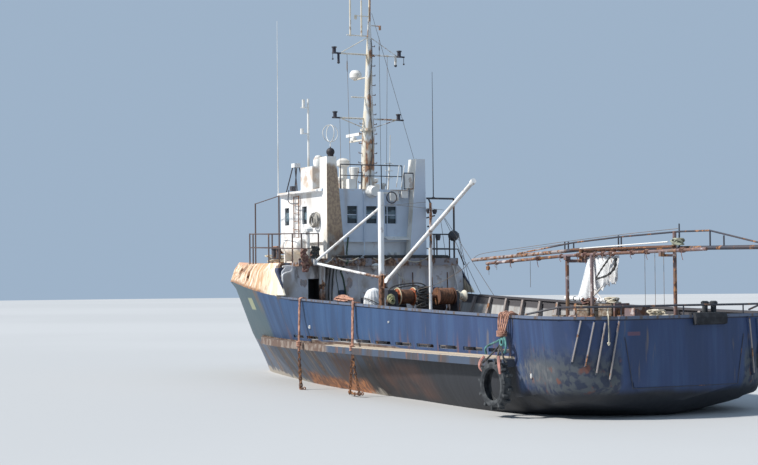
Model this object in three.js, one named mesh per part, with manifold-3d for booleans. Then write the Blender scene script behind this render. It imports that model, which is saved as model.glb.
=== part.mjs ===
// Steel stern-working fishing support ship, afloat, as an assembly of rigid pieces.
// Units are millimetres. +X points to the bow, +Y to port, +Z up, and z = 0 is the waterline.
// Lengths along the ship are stations, s, measured forward from the transom. The last lines
// shift the whole ship so that station MIDSHIP lies at x = 0.

import * as THREE from 'three';
import { mergeVertices } from 'three/addons/utils/BufferGeometryUtils.js';
import Module from 'manifold-3d';

const wasm = await Module();
wasm.setup();

// Driving dimensions
const MIDSHIP = 15000;
const GAP = 0.3;
const DECK = 1650;
const BULKHEAD_S = 17400;
const BOAT_DECK = 4270;
const OVERHANG = { aft: 16900, under: 4140, lip: 4410 };
const DECK_RISE = 150;
const PLATE = 60;
const STRAKE = { low: 1330, high: 1560, reach: 300, from: 2460, to: 22300 };
const WELL_AFT = 110;
const STERN_WALL = 170;
const STERN_SPLIT = 2500;
const KEEL = { bottom: -2350, half: 90, from: 3000, to: 23500 };

// Table of offsets. Heights of the half-breadth columns, then one row for each station:
// station, keel line height, half-breadth at each height, half-breadth at the sheer, sheer height.
// A height that lies under the keel line of its station holds zero.
const LEVELS = [-1500, -800, -300, 0, 400, 800, 1560];
const OFFSETS = [
  [0, 800, 0, 0, 0, 0, 0, 1680, 1810, 1980, 2650],
  [150, 430, 0, 0, 0, 0, 0, 2330, 2480, 2720, 2652],
  [500, 120, 0, 0, 0, 0, 2430, 3000, 3110, 3250, 2656],
  [1200, -110, 0, 0, 0, 950, 3300, 3500, 3610, 3710, 2664],
  [1900, -330, 0, 0, 0, 2050, 3500, 3650, 3730, 3840, 2672],
  [3000, -560, 0, 0, 1800, 2950, 3540, 3690, 3780, 3850, 2689],
  [4200, -1050, 0, 1300, 2700, 3200, 3570, 3710, 3805, 3850, 2709],
  [6000, -1800, 700, 2250, 2950, 3180, 3480, 3680, 3820, 3850, 2746],
  [9000, -2150, 1500, 2350, 2720, 2900, 3220, 3520, 3820, 3850, 2823],
  [12000, -2180, 1600, 2300, 2600, 2780, 3110, 3430, 3790, 3850, 2920],
  [15000, -2150, 1280, 1960, 2300, 2480, 2810, 3150, 3640, 3850, 3010],
  [17500, -2100, 1000, 1620, 1940, 2150, 2460, 2800, 3330, 3835, 3120],
  [20000, -2000, 650, 1180, 1480, 1680, 1950, 2250, 2800, 3540, 3300],
  [22500, -1850, 330, 730, 960, 1110, 1350, 1620, 2130, 2960, 3465],
  [24700, -1500, 0, 300, 470, 600, 800, 1010, 1450, 2270, 3560],
  [25900, -800, 0, 0, 150, 250, 430, 610, 1020, 1830, 3585],
  [26410, 0, 0, 0, 0, 30, 200, 360, 790, 1620, 3590],
  [26790, 486, 0, 0, 0, 0, 0, 160, 590, 1470, 3592],
  [27310, 1250, 0, 0, 0, 0, 0, 0, 220, 1250, 3595],
  [27930, 2097, 0, 0, 0, 0, 0, 0, 0, 1000, 3596],
  [28800, 2670, 0, 0, 0, 0, 0, 0, 0, 660, 3598],
  [29600, 3090, 0, 0, 0, 0, 0, 0, 0, 370, 3599],
  [30440, 3560, 0, 0, 0, 0, 0, 0, 0, 60, 3600],
];
const ROW_FRACTIONS = [0, 0.03, 0.1, 0.2, 0.31, 0.42, 0.54, 0.67, 0.82, 1];
// Stations of the table between which the skin takes a step halfway as well.
const HALF_STEPS = { from: 2, to: 15 };

const PAINT = {
  blue: [0x23386b, 0.6, 0.2],
  cream: [0xd8cfae, 0.7, 0.1],
  white: [0xdcdcd4, 0.7, 0.1],
  rust: [0x7a4426, 0.9, 0.2],
  dark: [0x24262a, 0.7, 0.2],
  grey: [0x6f757b, 0.8, 0.2],
  black: [0x17181a, 0.8, 0.1],
  glass: [0x1b2a33, 0.1, 0.1],
  red: [0xb4401f, 0.7, 0.1],
  canvas: [0xd9d6cb, 0.95, 0],
  bronze: [0x9a7433, 0.4, 0.8],
};

const ship = new THREE.Group();

// Basic solids

function toSolid(geometry) {
  geometry.deleteAttribute('normal');
  geometry.deleteAttribute('uv');
  const merged = mergeVertices(geometry, 0.001);
  const vertProperties = new Float32Array(merged.attributes.position.array);
  const triVerts = new Uint32Array(merged.index.array);
  return new wasm.Manifold(new wasm.Mesh({ numProp: 3, vertProperties, triVerts }));
}

function box(s0, s1, y0, y1, z0, z1) {
  const geometry = new THREE.BoxGeometry(s1 - s0, y1 - y0, z1 - z0);
  geometry.translate((s0 + s1) / 2, (y0 + y1) / 2, (z0 + z1) / 2);
  return toSolid(geometry);
}

// A round bar between two points; the end radius may differ from the start radius.
function bar(from, to, radius, sides = 8, endRadius = radius) {
  const a = new THREE.Vector3(...from);
  const b = new THREE.Vector3(...to);
  const length = a.distanceTo(b);
  const geometry = new THREE.CylinderGeometry(endRadius, radius, length, sides);
  const turn = new THREE.Quaternion();
  turn.setFromUnitVectors(new THREE.Vector3(0, 1, 0), b.clone().sub(a).normalize());
  geometry.applyQuaternion(turn);
  geometry.translate((a.x + b.x) / 2, (a.y + b.y) / 2, (a.z + b.z) / 2);
  return toSolid(geometry);
}

function ball(centre, radius, around = 12, up = 8) {
  const geometry = new THREE.SphereGeometry(radius, around, up);
  geometry.rotateX(Math.PI / 2);
  geometry.translate(...centre);
  return toSolid(geometry);
}

// A profile of [radius, height] turned about a vertical axis through the centre point.
function turned(centre, profile, sides = 16) {
  const points = profile.map(([r, z]) => new THREE.Vector2(r, z));
  const geometry = new THREE.LatheGeometry(points, sides);
  geometry.rotateX(Math.PI / 2);
  geometry.translate(...centre);
  return toSolid(geometry);
}

// The same, about an axis across the ship.
function turnedAcross(centre, profile, sides = 16) {
  const points = profile.map(([r, y]) => new THREE.Vector2(r, y));
  const geometry = new THREE.LatheGeometry(points, sides);
  geometry.translate(...centre);
  return toSolid(geometry);
}

// An outline of [s, y] points raised from one height to another.
function prism(outline, z0, z1) {
  const shape = new THREE.Shape(outline.map(([s, y]) => new THREE.Vector2(s, y)));
  const geometry = new THREE.ExtrudeGeometry(shape, { depth: z1 - z0, bevelEnabled: false });
  geometry.translate(0, 0, z0);
  return toSolid(geometry);
}

// An outline of [s, z] points given a width across the ship.
function sidePlate(outline, y0, y1) {
  const shape = new THREE.Shape(outline.map(([s, z]) => new THREE.Vector2(s, z)));
  const geometry = new THREE.ExtrudeGeometry(shape, { depth: y1 - y0, bevelEnabled: false });
  geometry.rotateX(Math.PI / 2);
  geometry.translate(0, y1, 0);
  return toSolid(geometry);
}

// A skin through rings of equal point counts, closed by flat caps at both ends.
function loft(rings) {
  const count = rings[0].length;
  const position = rings.flat(2);
  const index = [];
  for (let i = 0; i + 1 < rings.length; i += 1) {
    for (let j = 0; j < count; j += 1) {
      const k = (j + 1) % count;
      const a = i * count;
      const b = a + count;
      index.push(a + j, a + k, b + k, a + j, b + k, b + j);
    }
  }
  capRing(rings[0], 0, index, false);
  capRing(rings.at(-1), (rings.length - 1) * count, index, true);
  if (signedVolume(position, index) < 0) {
    index.reverse();
  }
  const geometry = new THREE.BufferGeometry();
  geometry.setAttribute('position', new THREE.Float32BufferAttribute(position, 3));
  geometry.setIndex(index);
  return toSolid(geometry);
}

function capRing(ring, start, index, flip) {
  const [u, v] = capAxes(ring);
  const flat = ring.map((p) => new THREE.Vector2(p[u], p[v]));
  const clockwise = THREE.ShapeUtils.isClockWise(flat);
  const order = ring.map((_, i) => (clockwise ? ring.length - 1 - i : i));
  const faces = THREE.ShapeUtils.triangulateShape(order.map((i) => flat[i]), []);
  for (const face of faces) {
    const [a, b, c] = face.map((i) => start + order[i]);
    if (clockwise === flip) {
      index.push(a, c, b);
    } else {
      index.push(a, b, c);
    }
  }
}

// The two axes left when the one nearest to the ring's normal is dropped.
function capAxes(ring) {
  const normal = [0, 0, 0];
  ring.forEach((p, i) => {
    const q = ring[(i + 1) % ring.length];
    normal[0] += (p[1] - q[1]) * (p[2] + q[2]);
    normal[1] += (p[2] - q[2]) * (p[0] + q[0]);
    normal[2] += (p[0] - q[0]) * (p[1] + q[1]);
  });
  const sizes = normal.map(Math.abs);
  const drop = sizes.indexOf(Math.max(...sizes));
  return [[1, 2], [2, 0], [0, 1]][drop];
}

function signedVolume(position, index) {
  const at = (i) => new THREE.Vector3(...position.slice(3 * i, 3 * i + 3));
  let total = 0;
  for (let i = 0; i < index.length; i += 3) {
    total += at(index[i]).dot(at(index[i + 1]).cross(at(index[i + 2])));
  }
  return total;
}

function join(...solids) {
  return solids.reduce((whole, piece) => whole.add(piece));
}

function cut(solid, ...tools) {
  return tools.reduce((left, tool) => left.subtract(tool), solid);
}

function mirrored(rings) {
  return rings.map((ring) => ring.map(([s, y, z]) => [s, -y, z]));
}

function addNode(name, solid, paint) {
  const mesh = solid.getMesh();
  const geometry = new THREE.BufferGeometry();
  geometry.setAttribute('position', new THREE.BufferAttribute(mesh.vertProperties, 3));
  geometry.setIndex(new THREE.BufferAttribute(mesh.triVerts, 1));
  geometry.computeVertexNormals();
  const [color, roughness, metalness] = paint;
  const material = new THREE.MeshStandardMaterial({ color, roughness, metalness });
  const node = new THREE.Mesh(geometry, material);
  node.name = name;
  ship.add(node);
}

// Hull form: each row of the section is a smooth curve through the stations of the table.

function sectionPoint(station, fraction) {
  const [s, keel] = station;
  const top = station.at(-1);
  const z = keel + fraction * (top - keel);
  const heights = [keel];
  const breadths = [s === 0 ? station.at(-4) : 0];
  LEVELS.forEach((level, i) => {
    if (level > keel + 1) {
      heights.push(level);
      breadths.push(station[i + 2]);
    }
  });
  heights.push(top);
  breadths.push(station.at(-2));
  const upper = Math.max(1, heights.findIndex((h) => h >= z - 1e-6));
  const share = (z - heights[upper - 1]) / (heights[upper] - heights[upper - 1]);
  return new THREE.Vector3(s, THREE.MathUtils.lerp(breadths[upper - 1], breadths[upper], share), z);
}

const hullRows = ROW_FRACTIONS.map((fraction) => {
  const points = OFFSETS.map((station) => sectionPoint(station, fraction));
  return new THREE.CatmullRomCurve3(points, false, 'centripetal');
});

// The skin as a grid: one line of [s, half-breadth, z] points for each step along the hull.
const steps = OFFSETS.flatMap((_, i) => (
  i >= HALF_STEPS.from && i < HALF_STEPS.to ? [i, i + 0.5] : [i]));
const grid = steps.map((step) => hullRows.map((row) => {
  const p = row.getPoint(step / (OFFSETS.length - 1));
  return [p.x, Math.max(p.y, 0), p.z];
}));

const fullHull = loft(grid.map((side) => [...side.slice(1), ...mirrored([side])[0].reverse()]));

// Point of one row at a station, on the straight line between two steps of the grid.
function rowAt(row, s) {
  const next = Math.min(Math.max(1, grid.findIndex((side) => side[row][0] >= s)), grid.length - 1);
  const a = grid[next - 1][row];
  const b = grid[next][row];
  const share = THREE.MathUtils.clamp((s - a[0]) / (b[0] - a[0]), 0, 1);
  return { y: THREE.MathUtils.lerp(a[1], b[1], share), z: THREE.MathUtils.lerp(a[2], b[2], share) };
}

function sheerAt(s) {
  return rowAt(ROW_FRACTIONS.length - 1, s);
}

// Half-breadth of the hull at a station and height, read from the rows.
function halfBreadth(s, z) {
  const points = ROW_FRACTIONS.map((_, row) => rowAt(row, s));
  const upper = points.findIndex((p) => p.z >= z);
  if (upper < 1) {
    return upper === 0 ? 0 : points.at(-1).y;
  }
  const share = (z - points[upper - 1].z) / (points[upper].z - points[upper - 1].z);
  return THREE.MathUtils.lerp(points[upper - 1].y, points[upper].y, share);
}

function stations(from, to, step) {
  const count = Math.round((to - from) / step);
  return Array.from({ length: count + 1 }, (_, i) => from + (i * (to - from)) / count);
}

// A bar that follows the ship's side: for each station a ring of [half-breadth, height] corners.
function alongSide(list, corners, side) {
  const rings = list.map((s) => corners(s).map(([b, z]) => [s, b, z]));
  return loft(side > 0 ? rings : mirrored(rings));
}

// The open well between the bulwarks, with more left of the plating round the stern corners.
function wellRings() {
  return [WELL_AFT, 300, 700, 1300, 1900, 3000, 6000, 9000, 12000, 15000, BULKHEAD_S].map((s) => {
    const top = sheerAt(s);
    const wall = s < 1000 ? STERN_WALL : PLATE;
    const low = halfBreadth(s, DECK) - wall;
    const high = top.y - wall;
    const ring = [[s, low, DECK], [s, high, top.z], [s, high, top.z + 400]];
    return [...ring, ...mirrored([ring])[0].reverse()];
  });
}

// Rails made of many bars
function frameOf(list) {
  return join(...list.map(([from, to, radius, sides]) => bar(from, to, radius, sides ?? 6)));
}

// Hull, keel and bulwarks

function hullBody() {
  const far = 40000;
  const below = fullHull.intersect(box(-far, far, -far, far, -far, DECK));
  const keel = sidePlate([
    [KEEL.from, KEEL.bottom], [KEEL.to, KEEL.bottom], [25600, -1100], [24000, -900],
    [8000, -900], [3600, -200], [3200, -300], [KEEL.from, -700],
  ], -KEEL.half, KEEL.half);
  const boss = bar([2700, 0, -1230], [5200, 0, -1230], 190, 16, 240);
  const sole = sidePlate([[600, -2230], [700, -2330], [3400, KEEL.bottom], [3400, -2180],
    [700, -2180]], -70, 70);
  const hold = box(8150, 9450, -650, 650, 950, DECK + 10);
  const strakes = [1, -1].map(strake);
  const ribs = sternRibs().intersect(box(-far, far, -far, far, -far, DECK));
  return cut(join(below, keel, boss, sole, ...strakes, ribs), hold);
}

function strake(side) {
  return alongSide(stations(STRAKE.from, STRAKE.to, 1045), (s) => {
    const taper = Math.min(1, (STRAKE.to + 200 - s) / 1500);
    const low = halfBreadth(s, STRAKE.low);
    const high = halfBreadth(s, STRAKE.high);
    const out = high + STRAKE.reach * taper;
    return [[low - 60, STRAKE.low], [out, STRAKE.low], [out, STRAKE.high], [high - 60, STRAKE.high]];
  }, side);
}

function bulwarks() {
  const far = 40000;
  const above = fullHull.intersect(box(-far, BULKHEAD_S - GAP, -far, far, DECK + GAP, far));
  const wall = cut(above, loft(wellRings()));
  return wall;
}

const CAP = { above: 20, below: 50, out: 35, inside: 130 };

function capRail(list, side) {
  return alongSide(list, (s) => {
    const { y, z } = sheerAt(s);
    return [[y - CAP.inside, z - CAP.below], [y + CAP.out, z - CAP.below], [y + CAP.out, z + CAP.above],
      [y - CAP.inside, z + CAP.above]];
  }, side);
}

function freeingSlots(side) {
  return stations(2650, 15850, 1320).map((s) => {
    const y = side * 3800;
    return box(s, s + 1000, y - 600, y + 600, 1690, 1790);
  });
}

function bulwarkSide(side) {
  const wall = bulwarks().intersect(
    box(STERN_SPLIT + GAP, 40000, side > 0 ? 0 : -40000, side > 0 ? 40000 : 0, 0, 9000));
  const cap = capRail(stations(STERN_SPLIT + GAP, 16350, 1100), side);
  return cut(join(wall, cap), ...freeingSlots(side));
}

// Fender ribs on each rounded quarter: s and z of four points down each rib
const RIBS = [
  [[376, 2591], [445, 2227], [513, 1863], [622, 1486]],
  [[197, 2550], [273, 2167], [342, 1784], [408, 1389]],
  [[107, 2533], [142, 2093], [213, 1650], [287, 1194]],
  [[29, 2578], [65, 2061], [104, 1545], [146, 1013]],
];

// A rib lies on the skin, so it is made of short bars between points of the surface.
function sternRib(side, route) {
  const points = route.map(([s, z]) => [s - 10, side * (halfBreadth(s, z) + 15), z]);
  return join(...points.slice(1).map((end, i) => bar(points[i], end, 38, 6)));
}

function sternRibs() {
  return join(...[1, -1].flatMap((side) => RIBS.map((rib) => sternRib(side, rib))));
}

function bulwarkStern() {
  const wall = bulwarks().intersect(box(-100, STERN_SPLIT, -40000, 40000, 0, 9000));
  const caps = [1, -1].map((side) => capRail([60, 200, 450, 800, 1200, 1550, 1900, STERN_SPLIT], side));
  const aft = box(-30, 140, -2150, 2150, 2600, 2672);
  const ribs = sternRibs().intersect(box(-900, 9000, -9000, 9000, DECK + GAP, 9000));
  return join(wall, ...caps, aft, cut(ribs, loft(wellRings())));
}

addNode('hull', hullBody(), PAINT.blue);
addNode('bulwark_port', bulwarkSide(1), PAINT.blue);
addNode('bulwark_starboard', bulwarkSide(-1), PAINT.blue);
addNode('bulwark_stern', bulwarkStern(), PAINT.blue);

// Forecastle and whaleback

const DOORWAY = { y0: 2080, y1: 2640, z0: 1850, z1: 3700, depth: 700 };
// How far the shoulder and the deck edge of the whaleback lie inboard of the sheer, aft and at the bow.
const SHOULDER = { aft: 85, bow: 235, below: 300 };
const DECK_EDGE = { aft: 300, bow: 420 };

// The recess behind the doorway, through the forecastle and the whaleback above it.
function recess() {
  return box(BULKHEAD_S - 10, BULKHEAD_S + DOORWAY.depth, DOORWAY.y0, DOORWAY.y1, DOORWAY.z0, DOORWAY.z1);
}

function forecastle() {
  const far = 40000;
  const block = fullHull.intersect(box(BULKHEAD_S, far, -far, far, DECK + GAP, far));
  return cut(block, recess());
}

// Rings of the whaleback: sheer, shoulder and deck edge, each set further inboard. The aft
// ring leans forward, and towards the bow the rings lean aft.
function whalebackRings() {
  const list = [BULKHEAD_S, ...grid.map((ring) => ring.at(-1)[0]).filter((s) => s > BULKHEAD_S + 150)];
  return list.map((s, i) => {
    const sheer = sheerAt(s);
    const rake = (s - BULKHEAD_S) / (grid.at(-1).at(-1)[0] - BULKHEAD_S);
    const deck = BOAT_DECK + DECK_RISE * Math.max(0, (rake - 0.62) / 0.38);
    const lean = i === 0 ? 120 : 0;
    const shoulder = THREE.MathUtils.lerp(SHOULDER.aft, SHOULDER.bow, Math.sqrt(rake));
    const edge = THREE.MathUtils.lerp(DECK_EDGE.aft, DECK_EDGE.bow, Math.sqrt(rake));
    const side = [
      [s, sheer.y, sheer.z + GAP],
      [s + lean - 400 * rake * rake, Math.max(sheer.y * 0.66, sheer.y - shoulder), deck - SHOULDER.below],
      [s + 2 * lean - 900 * rake * rake, Math.max(sheer.y * 0.4, sheer.y - edge), deck],
    ];
    return [...side, ...mirrored([side])[0].reverse()];
  });
}

// The side plate that runs on aft of the whaleback, lower and lower, to the bulwark.
function wing(side) {
  const rings = [
    [16780, 17800, 3832, 3145], [17500, 17800, 3750, 3960], [17660, 17800, 3655, 4180],
  ].map(([s0, s1, y, z]) => [
    [s0, side * y, z], [s1, side * y, z], [s1, side * (y - PLATE), z], [s0, side * (y - PLATE), z],
  ]);
  return loft(rings);
}

function whaleback() {
  const body = cut(loft(whalebackRings()), recess());
  const overhang = box(OVERHANG.aft, BULKHEAD_S + 400, -3200, 3200, OVERHANG.under, BOAT_DECK);
  const lip = box(OVERHANG.aft, OVERHANG.aft + 60, -3200, 3200, OVERHANG.under, OVERHANG.lip);
  return join(body, overhang, lip, wing(1), wing(-1));
}

function bulkhead() {
  const edge = [[3200, DECK + GAP], [3740, 3090], [3640, 3960], [3480, OVERHANG.under - GAP]];
  const outline = [...edge, ...edge.map(([y, z]) => [-y, z]).reverse()];
  const shape = new THREE.Shape(outline.map(([y, z]) => new THREE.Vector2(y, z)));
  const geometry = new THREE.ExtrudeGeometry(shape, { depth: 40, bevelEnabled: false });
  geometry.rotateX(Math.PI / 2);
  geometry.rotateZ(Math.PI / 2);
  geometry.translate(BULKHEAD_S - GAP - 40, 0, 0);
  const way = box(17300, 17500, DOORWAY.y0, DOORWAY.y1, DOORWAY.z0, DOORWAY.z1);
  return cut(toSolid(geometry), way);
}

addNode('forecastle', forecastle(), PAINT.blue);
addNode('whaleback', whaleback(), PAINT.cream);
addNode('forecastle_bulkhead', bulkhead(), PAINT.grey);

// Pillar that carries the overhang of the boat deck beside the doorway
addNode('deck_pillar', bar([17200, 2170, DECK + GAP], [17200, 2170, OVERHANG.under - GAP], 112, 12),
  PAINT.white);

// Deckhouse and wheelhouse

const HOUSE = { aft: 17450, straight: 20900, nose: 1700, half: 1900, low: 5000, high: 6800, wall: 60 };
const ROOF = HOUSE.high + 90;
const WINDOWS_AFT = [[630, 1040, 5660, 6280], [-160, 280, 5660, 6280], [-950, -480, 5660, 6280]];
const WINDOWS_SIDE = [[18960, 19360], [20470, 20860]];

// Plan of the house: straight sides and a half-ellipse front, set in by an inset.
function housePlan(inset) {
  const half = HOUSE.half - inset;
  const nose = HOUSE.nose - inset;
  const front = Array.from({ length: 13 }, (_, i) => {
    const angle = Math.PI / 2 - (i * Math.PI) / 12;
    return [HOUSE.straight + nose * Math.cos(angle), half * Math.sin(angle)];
  });
  return [[HOUSE.aft + inset, half], ...front, [HOUSE.aft + inset, -half]];
}

function frontWindows() {
  return [-64, -38, -13, 13, 38, 64].map((degrees) => {
    const angle = (degrees * Math.PI) / 180;
    const s = HOUSE.straight + HOUSE.nose * Math.cos(angle);
    const y = HOUSE.half * Math.sin(angle);
    const geometry = new THREE.BoxGeometry(500, 520, 620);
    geometry.rotateZ(Math.atan2(y / HOUSE.half ** 2, (s - HOUSE.straight) / HOUSE.nose ** 2));
    geometry.translate(s, y, 6000);
    return toSolid(geometry);
  });
}

const HOUSE_DOOR = { s0: 17900, s1: 18550, z0: 5080, z1: 6700 };

function wheelhouse() {
  const shell = cut(
    prism(housePlan(0), HOUSE.low + GAP, HOUSE.high),
    prism(housePlan(HOUSE.wall), HOUSE.low + HOUSE.wall, HOUSE.high + 10));
  const aft = WINDOWS_AFT.map(([y0, y1, z0, z1]) => box(17300, 17700, y0, y1, z0, z1));
  const sides = WINDOWS_SIDE.flatMap(([s0, s1]) => [1, -1].map(
    (side) => box(s0, s1, side * 1900 - 200, side * 1900 + 200, 5680, 6320)));
  const door = box(HOUSE_DOOR.s0, HOUSE_DOOR.s1, -2100, -1700, HOUSE_DOOR.z0, HOUSE_DOOR.z1);
  const lugs = [[5100, 5150 - GAP], [6650 + GAP, 6700]].map(
    ([z0, z1]) => box(HOUSE_DOOR.s1 + 20, HOUSE_DOOR.s1 + 60, -1970, -1870, z0, z1));
  return join(cut(shell, ...aft, ...sides, door, ...frontWindows()), ...lugs);
}

function glazing() {
  const inset = HOUSE.wall + GAP;
  const band = cut(prism(housePlan(inset), 5620, 6380), prism(housePlan(inset + 12), 5600, 6400));
  return cut(band, box(HOUSE_DOOR.s0 - 40, HOUSE_DOOR.s1 + 40, -2100, -1700, 5000, 6700));
}

addNode('deckhouse_trunk', prism(housePlan(120), BOAT_DECK + GAP, HOUSE.low), PAINT.rust);
addNode('wheelhouse', wheelhouse(), PAINT.white);
addNode('wheelhouse_glazing', glazing(), PAINT.glass);
addNode('wheelhouse_roof', prism(housePlan(-130).map(([s, y]) => [Math.max(s, 17460), y]),
  HOUSE.high + GAP, ROOF), PAINT.white);
addNode('wheelhouse_door', join(
  box(HOUSE_DOOR.s0 - 30, HOUSE_DOOR.s1 + 12, -1945, -1901, HOUSE_DOOR.z0 - 15, HOUSE_DOOR.z1 + 20),
  ...[5250, 6450].map((z) => box(HOUSE_DOOR.s1, HOUSE_DOOR.s1 + 40, -1960, -1910, z, z + 90)),
  bar([HOUSE_DOOR.s1 + 40, -1950, 5150], [HOUSE_DOOR.s1 + 40, -1950, 6650], 20),
), PAINT.white);

// Each tower stands against the house and, above the roof, reaches forward over it.
// s from and to, inner and outer y, and height of each ring
const TOWER_FOOT = [[17100, 17440, 1300, 2000, BOAT_DECK + GAP], [17121, 17440, 1524, 1989, ROOF + GAP]];
const TOWER_HEAD = [[17121, 17700, 1524, 1989, ROOF + GAP], [17130, 17700, 1620, 1985, 8000]];

function tower(side) {
  const [foot, head] = [TOWER_FOOT, TOWER_HEAD].map((rings) => loft(rings.map(
    ([s0, s1, y0, y1, z]) => [
      [s0, side * y0, z], [s1, side * y0, z], [s1, side * y1, z], [s0, side * y1, z],
    ])));
  return join(foot, head);
}

addNode('exhaust_tower_port', tower(1), PAINT.cream);
addNode('exhaust_tower_starboard', tower(-1), PAINT.white);

// Direction finder: a dome with two crossed loops on the port tower
const FINDER = { s: 17280, y: 1765, dome: 8165, loops: 8820, radius: 300 };

function loopRing(degrees) {
  const geometry = new THREE.TorusGeometry(FINDER.radius, 14, 5, 20);
  geometry.rotateX(Math.PI / 2);
  geometry.rotateZ((degrees * Math.PI) / 180);
  geometry.translate(FINDER.s, FINDER.y, FINDER.loops);
  return toSolid(geometry);
}

addNode('direction_finder', join(
  ball([FINDER.s, FINDER.y, FINDER.dome], 150),
  turned([FINDER.s, FINDER.y, 8000], [[0, GAP], [110, GAP], [110, 60], [0, 60]], 12),
  bar([FINDER.s, FINDER.y, 8290], [FINDER.s, FINDER.y, 8530], 18),
  loopRing(0), loopRing(90),
), PAINT.white);

// Main mast with its yards and brackets

// The blade of the radar scanner lies fore and aft at rest.
const SCANNER = { s: 18920, z: 8740, blade: [8900, 9000], half: 520 };
const MAST = { s: 17850, foot: 6890 + GAP, top: 13800, rake: 0.042 };
// height and radius
const MAST_TAPER = [[MAST.foot, 250], [9000, 225], [10100, 150], [11900, 105], [13100, 45], [MAST.top, 40]];
// height, half-span, height where its braces meet the mast, then the places of its standing
// lamps and of its hanging lamps along the yard
const YARDS = [
  { z: 9440, span: 1450, brace: 9050, standing: [1340, -1240], hanging: [] },
  { z: 11740, span: 1460, brace: 12400, standing: [1400, -1240], hanging: [1230, -1090] },
];

// The mast leans aft, so each height has its own station.
function mastAt(z) {
  return MAST.s - MAST.rake * (z - MAST.foot);
}

function mastPole() {
  return loft(MAST_TAPER.map(([z, r]) => Array.from({ length: 12 }, (_, i) => {
    const angle = (i * Math.PI) / 6;
    return [mastAt(z) + r * Math.cos(angle), r * Math.sin(angle), z];
  })));
}

function yard({ z, span, brace, standing, hanging }) {
  const s = mastAt(z);
  return join(
    bar([s, -span, z], [s, span, z], 30, 6),
    ...[1, -1].map((side) => bar([s, side * span * 0.8, z], [mastAt(brace), 0, brace], 16, 6)),
    ...standing.map((y) => bar([s, y, z - 10], [s, y, z + 190], 70, 8)),
    ...hanging.map((y) => bar([s, y, z - 330], [s, y, z + 10], 45, 8)),
  );
}

function mast() {
  const arm = (z, y0, y1, radius) => bar([mastAt(z), y0, z], [mastAt(z), y1, z], radius, 6);
  const sleeve = (y) => bar([mastAt(12410), y, 12370], [mastAt(12410), y, 13690], 32, 8);
  const shelf = box(mastAt(8700) + 50, 19150, -60, 60, 8690, SCANNER.z);
  const radarArm = box(mastAt(10960) + 50, 18800, -40, 40, 10940, 10980);
  return join(
    mastPole(),
    bar([mastAt(9040), 0, 9000], [mastAt(9040), 0, 9080], 285, 12),
    ...YARDS.map(yard), shelf, radarArm,
    arm(12410, 0, 900, 20), sleeve(765), sleeve(310),
    arm(12800, 0, -440, 18), bar([mastAt(12800), -430, 12660], [mastAt(12800), -430, 12820], 45, 8),
    arm(13120, 0, 600, 16), bar([mastAt(13120), 560, 12990], [mastAt(13120), 560, 13140], 50, 8),
    arm(10200, 0, 700, 22),
  );
}

addNode('main_mast', mast(), PAINT.rust);
addNode('radar_dome', turned([18700, 0, 10980 + GAP],
  [[0, 0], [160, 0], [225, 60], [225, 200], [150, 310], [0, 340]], 14), PAINT.white);

addNode('radar_scanner', join(
  turned([SCANNER.s, 0, SCANNER.z + GAP], [[0, 0], [120, 0], [120, 110], [40, 130], [40, 200], [0, 200]], 12),
  box(SCANNER.s - SCANNER.half, SCANNER.s + SCANNER.half, -45, 45, ...SCANNER.blade),
), PAINT.white);

// Rails, pipes and posts on the boat deck

// s, y of the posts of the boat-deck rail, port side, from aft forward. Two of them are taller
// and carry the bar of an awning.
const RAIL_POSTS = [[17000, 2400], [17000, 3050], [17980, 2942], [19450, 2780], [20670, 2646],
  [22260, 2471], [23060, 2360], [23800, 1900]];
const AWNING = { 19450: 6722, 22260: 6562 };

// Height of the top rail, which rises a little towards the bow.
function railTop(s) {
  return 5270 + 0.026 * (s - 17000);
}

function boatDeckRail() {
  const starboard = RAIL_POSTS.map(([s, y]) => [Math.max(s, 17250), -y]).reverse();
  const whole = [...RAIL_POSTS, [24000, 1000], [24000, 0], [24000, -1000], ...starboard];
  const bars = whole.map(([s, y]) => {
    const top = (y > 0 && AWNING[s]) || railTop(s) + 22;
    return [[s, y, BOAT_DECK + GAP], [s, y, top], 30];
  });
  for (let i = 0; i + 1 < whole.length; i += 1) {
    for (const drop of [0, 520]) {
      bars.push([...[whole[i], whole[i + 1]].map(([s, y]) => [s, y, railTop(s) - drop]), 19]);
    }
  }
  bars.push([[22260, 2471, 6540], [19450, 2780, 6700], 19]);
  return frameOf(bars);
}

addNode('boat_deck_rail', boatDeckRail(), PAINT.rust);
addNode('mushroom_vent', turned([17440, 2600, BOAT_DECK + GAP],
  [[0, 0], [75, 0], [75, 1080], [190, 1080], [190, 1180], [90, 1260], [0, 1270]], 12), PAINT.white);
addNode('whip_antenna_port', bar([21530, 1850, ROOF + GAP], [21530, 1850, 13400], 22, 6, 8), PAINT.white);

// Signal pole with its lamp arms at the front of the roof
const SIGNAL = { s: 22450, y: 140 };
addNode('signal_pole', join(
  bar([SIGNAL.s, SIGNAL.y, ROOF + GAP], [SIGNAL.s, SIGNAL.y, 10640], 45, 8),
  bar([SIGNAL.s, SIGNAL.y, 10290], [SIGNAL.s, SIGNAL.y + 300, 10290], 20, 6),
  bar([SIGNAL.s, SIGNAL.y, 9290], [SIGNAL.s, SIGNAL.y + 300, 9290], 20, 6),
  bar([SIGNAL.s, SIGNAL.y + 200, 10270], [SIGNAL.s, SIGNAL.y + 200, 10600], 60, 8),
  bar([SIGNAL.s, SIGNAL.y + 270, 9270], [SIGNAL.s, SIGNAL.y + 270, 9480], 70, 8),
), PAINT.white);

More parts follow.
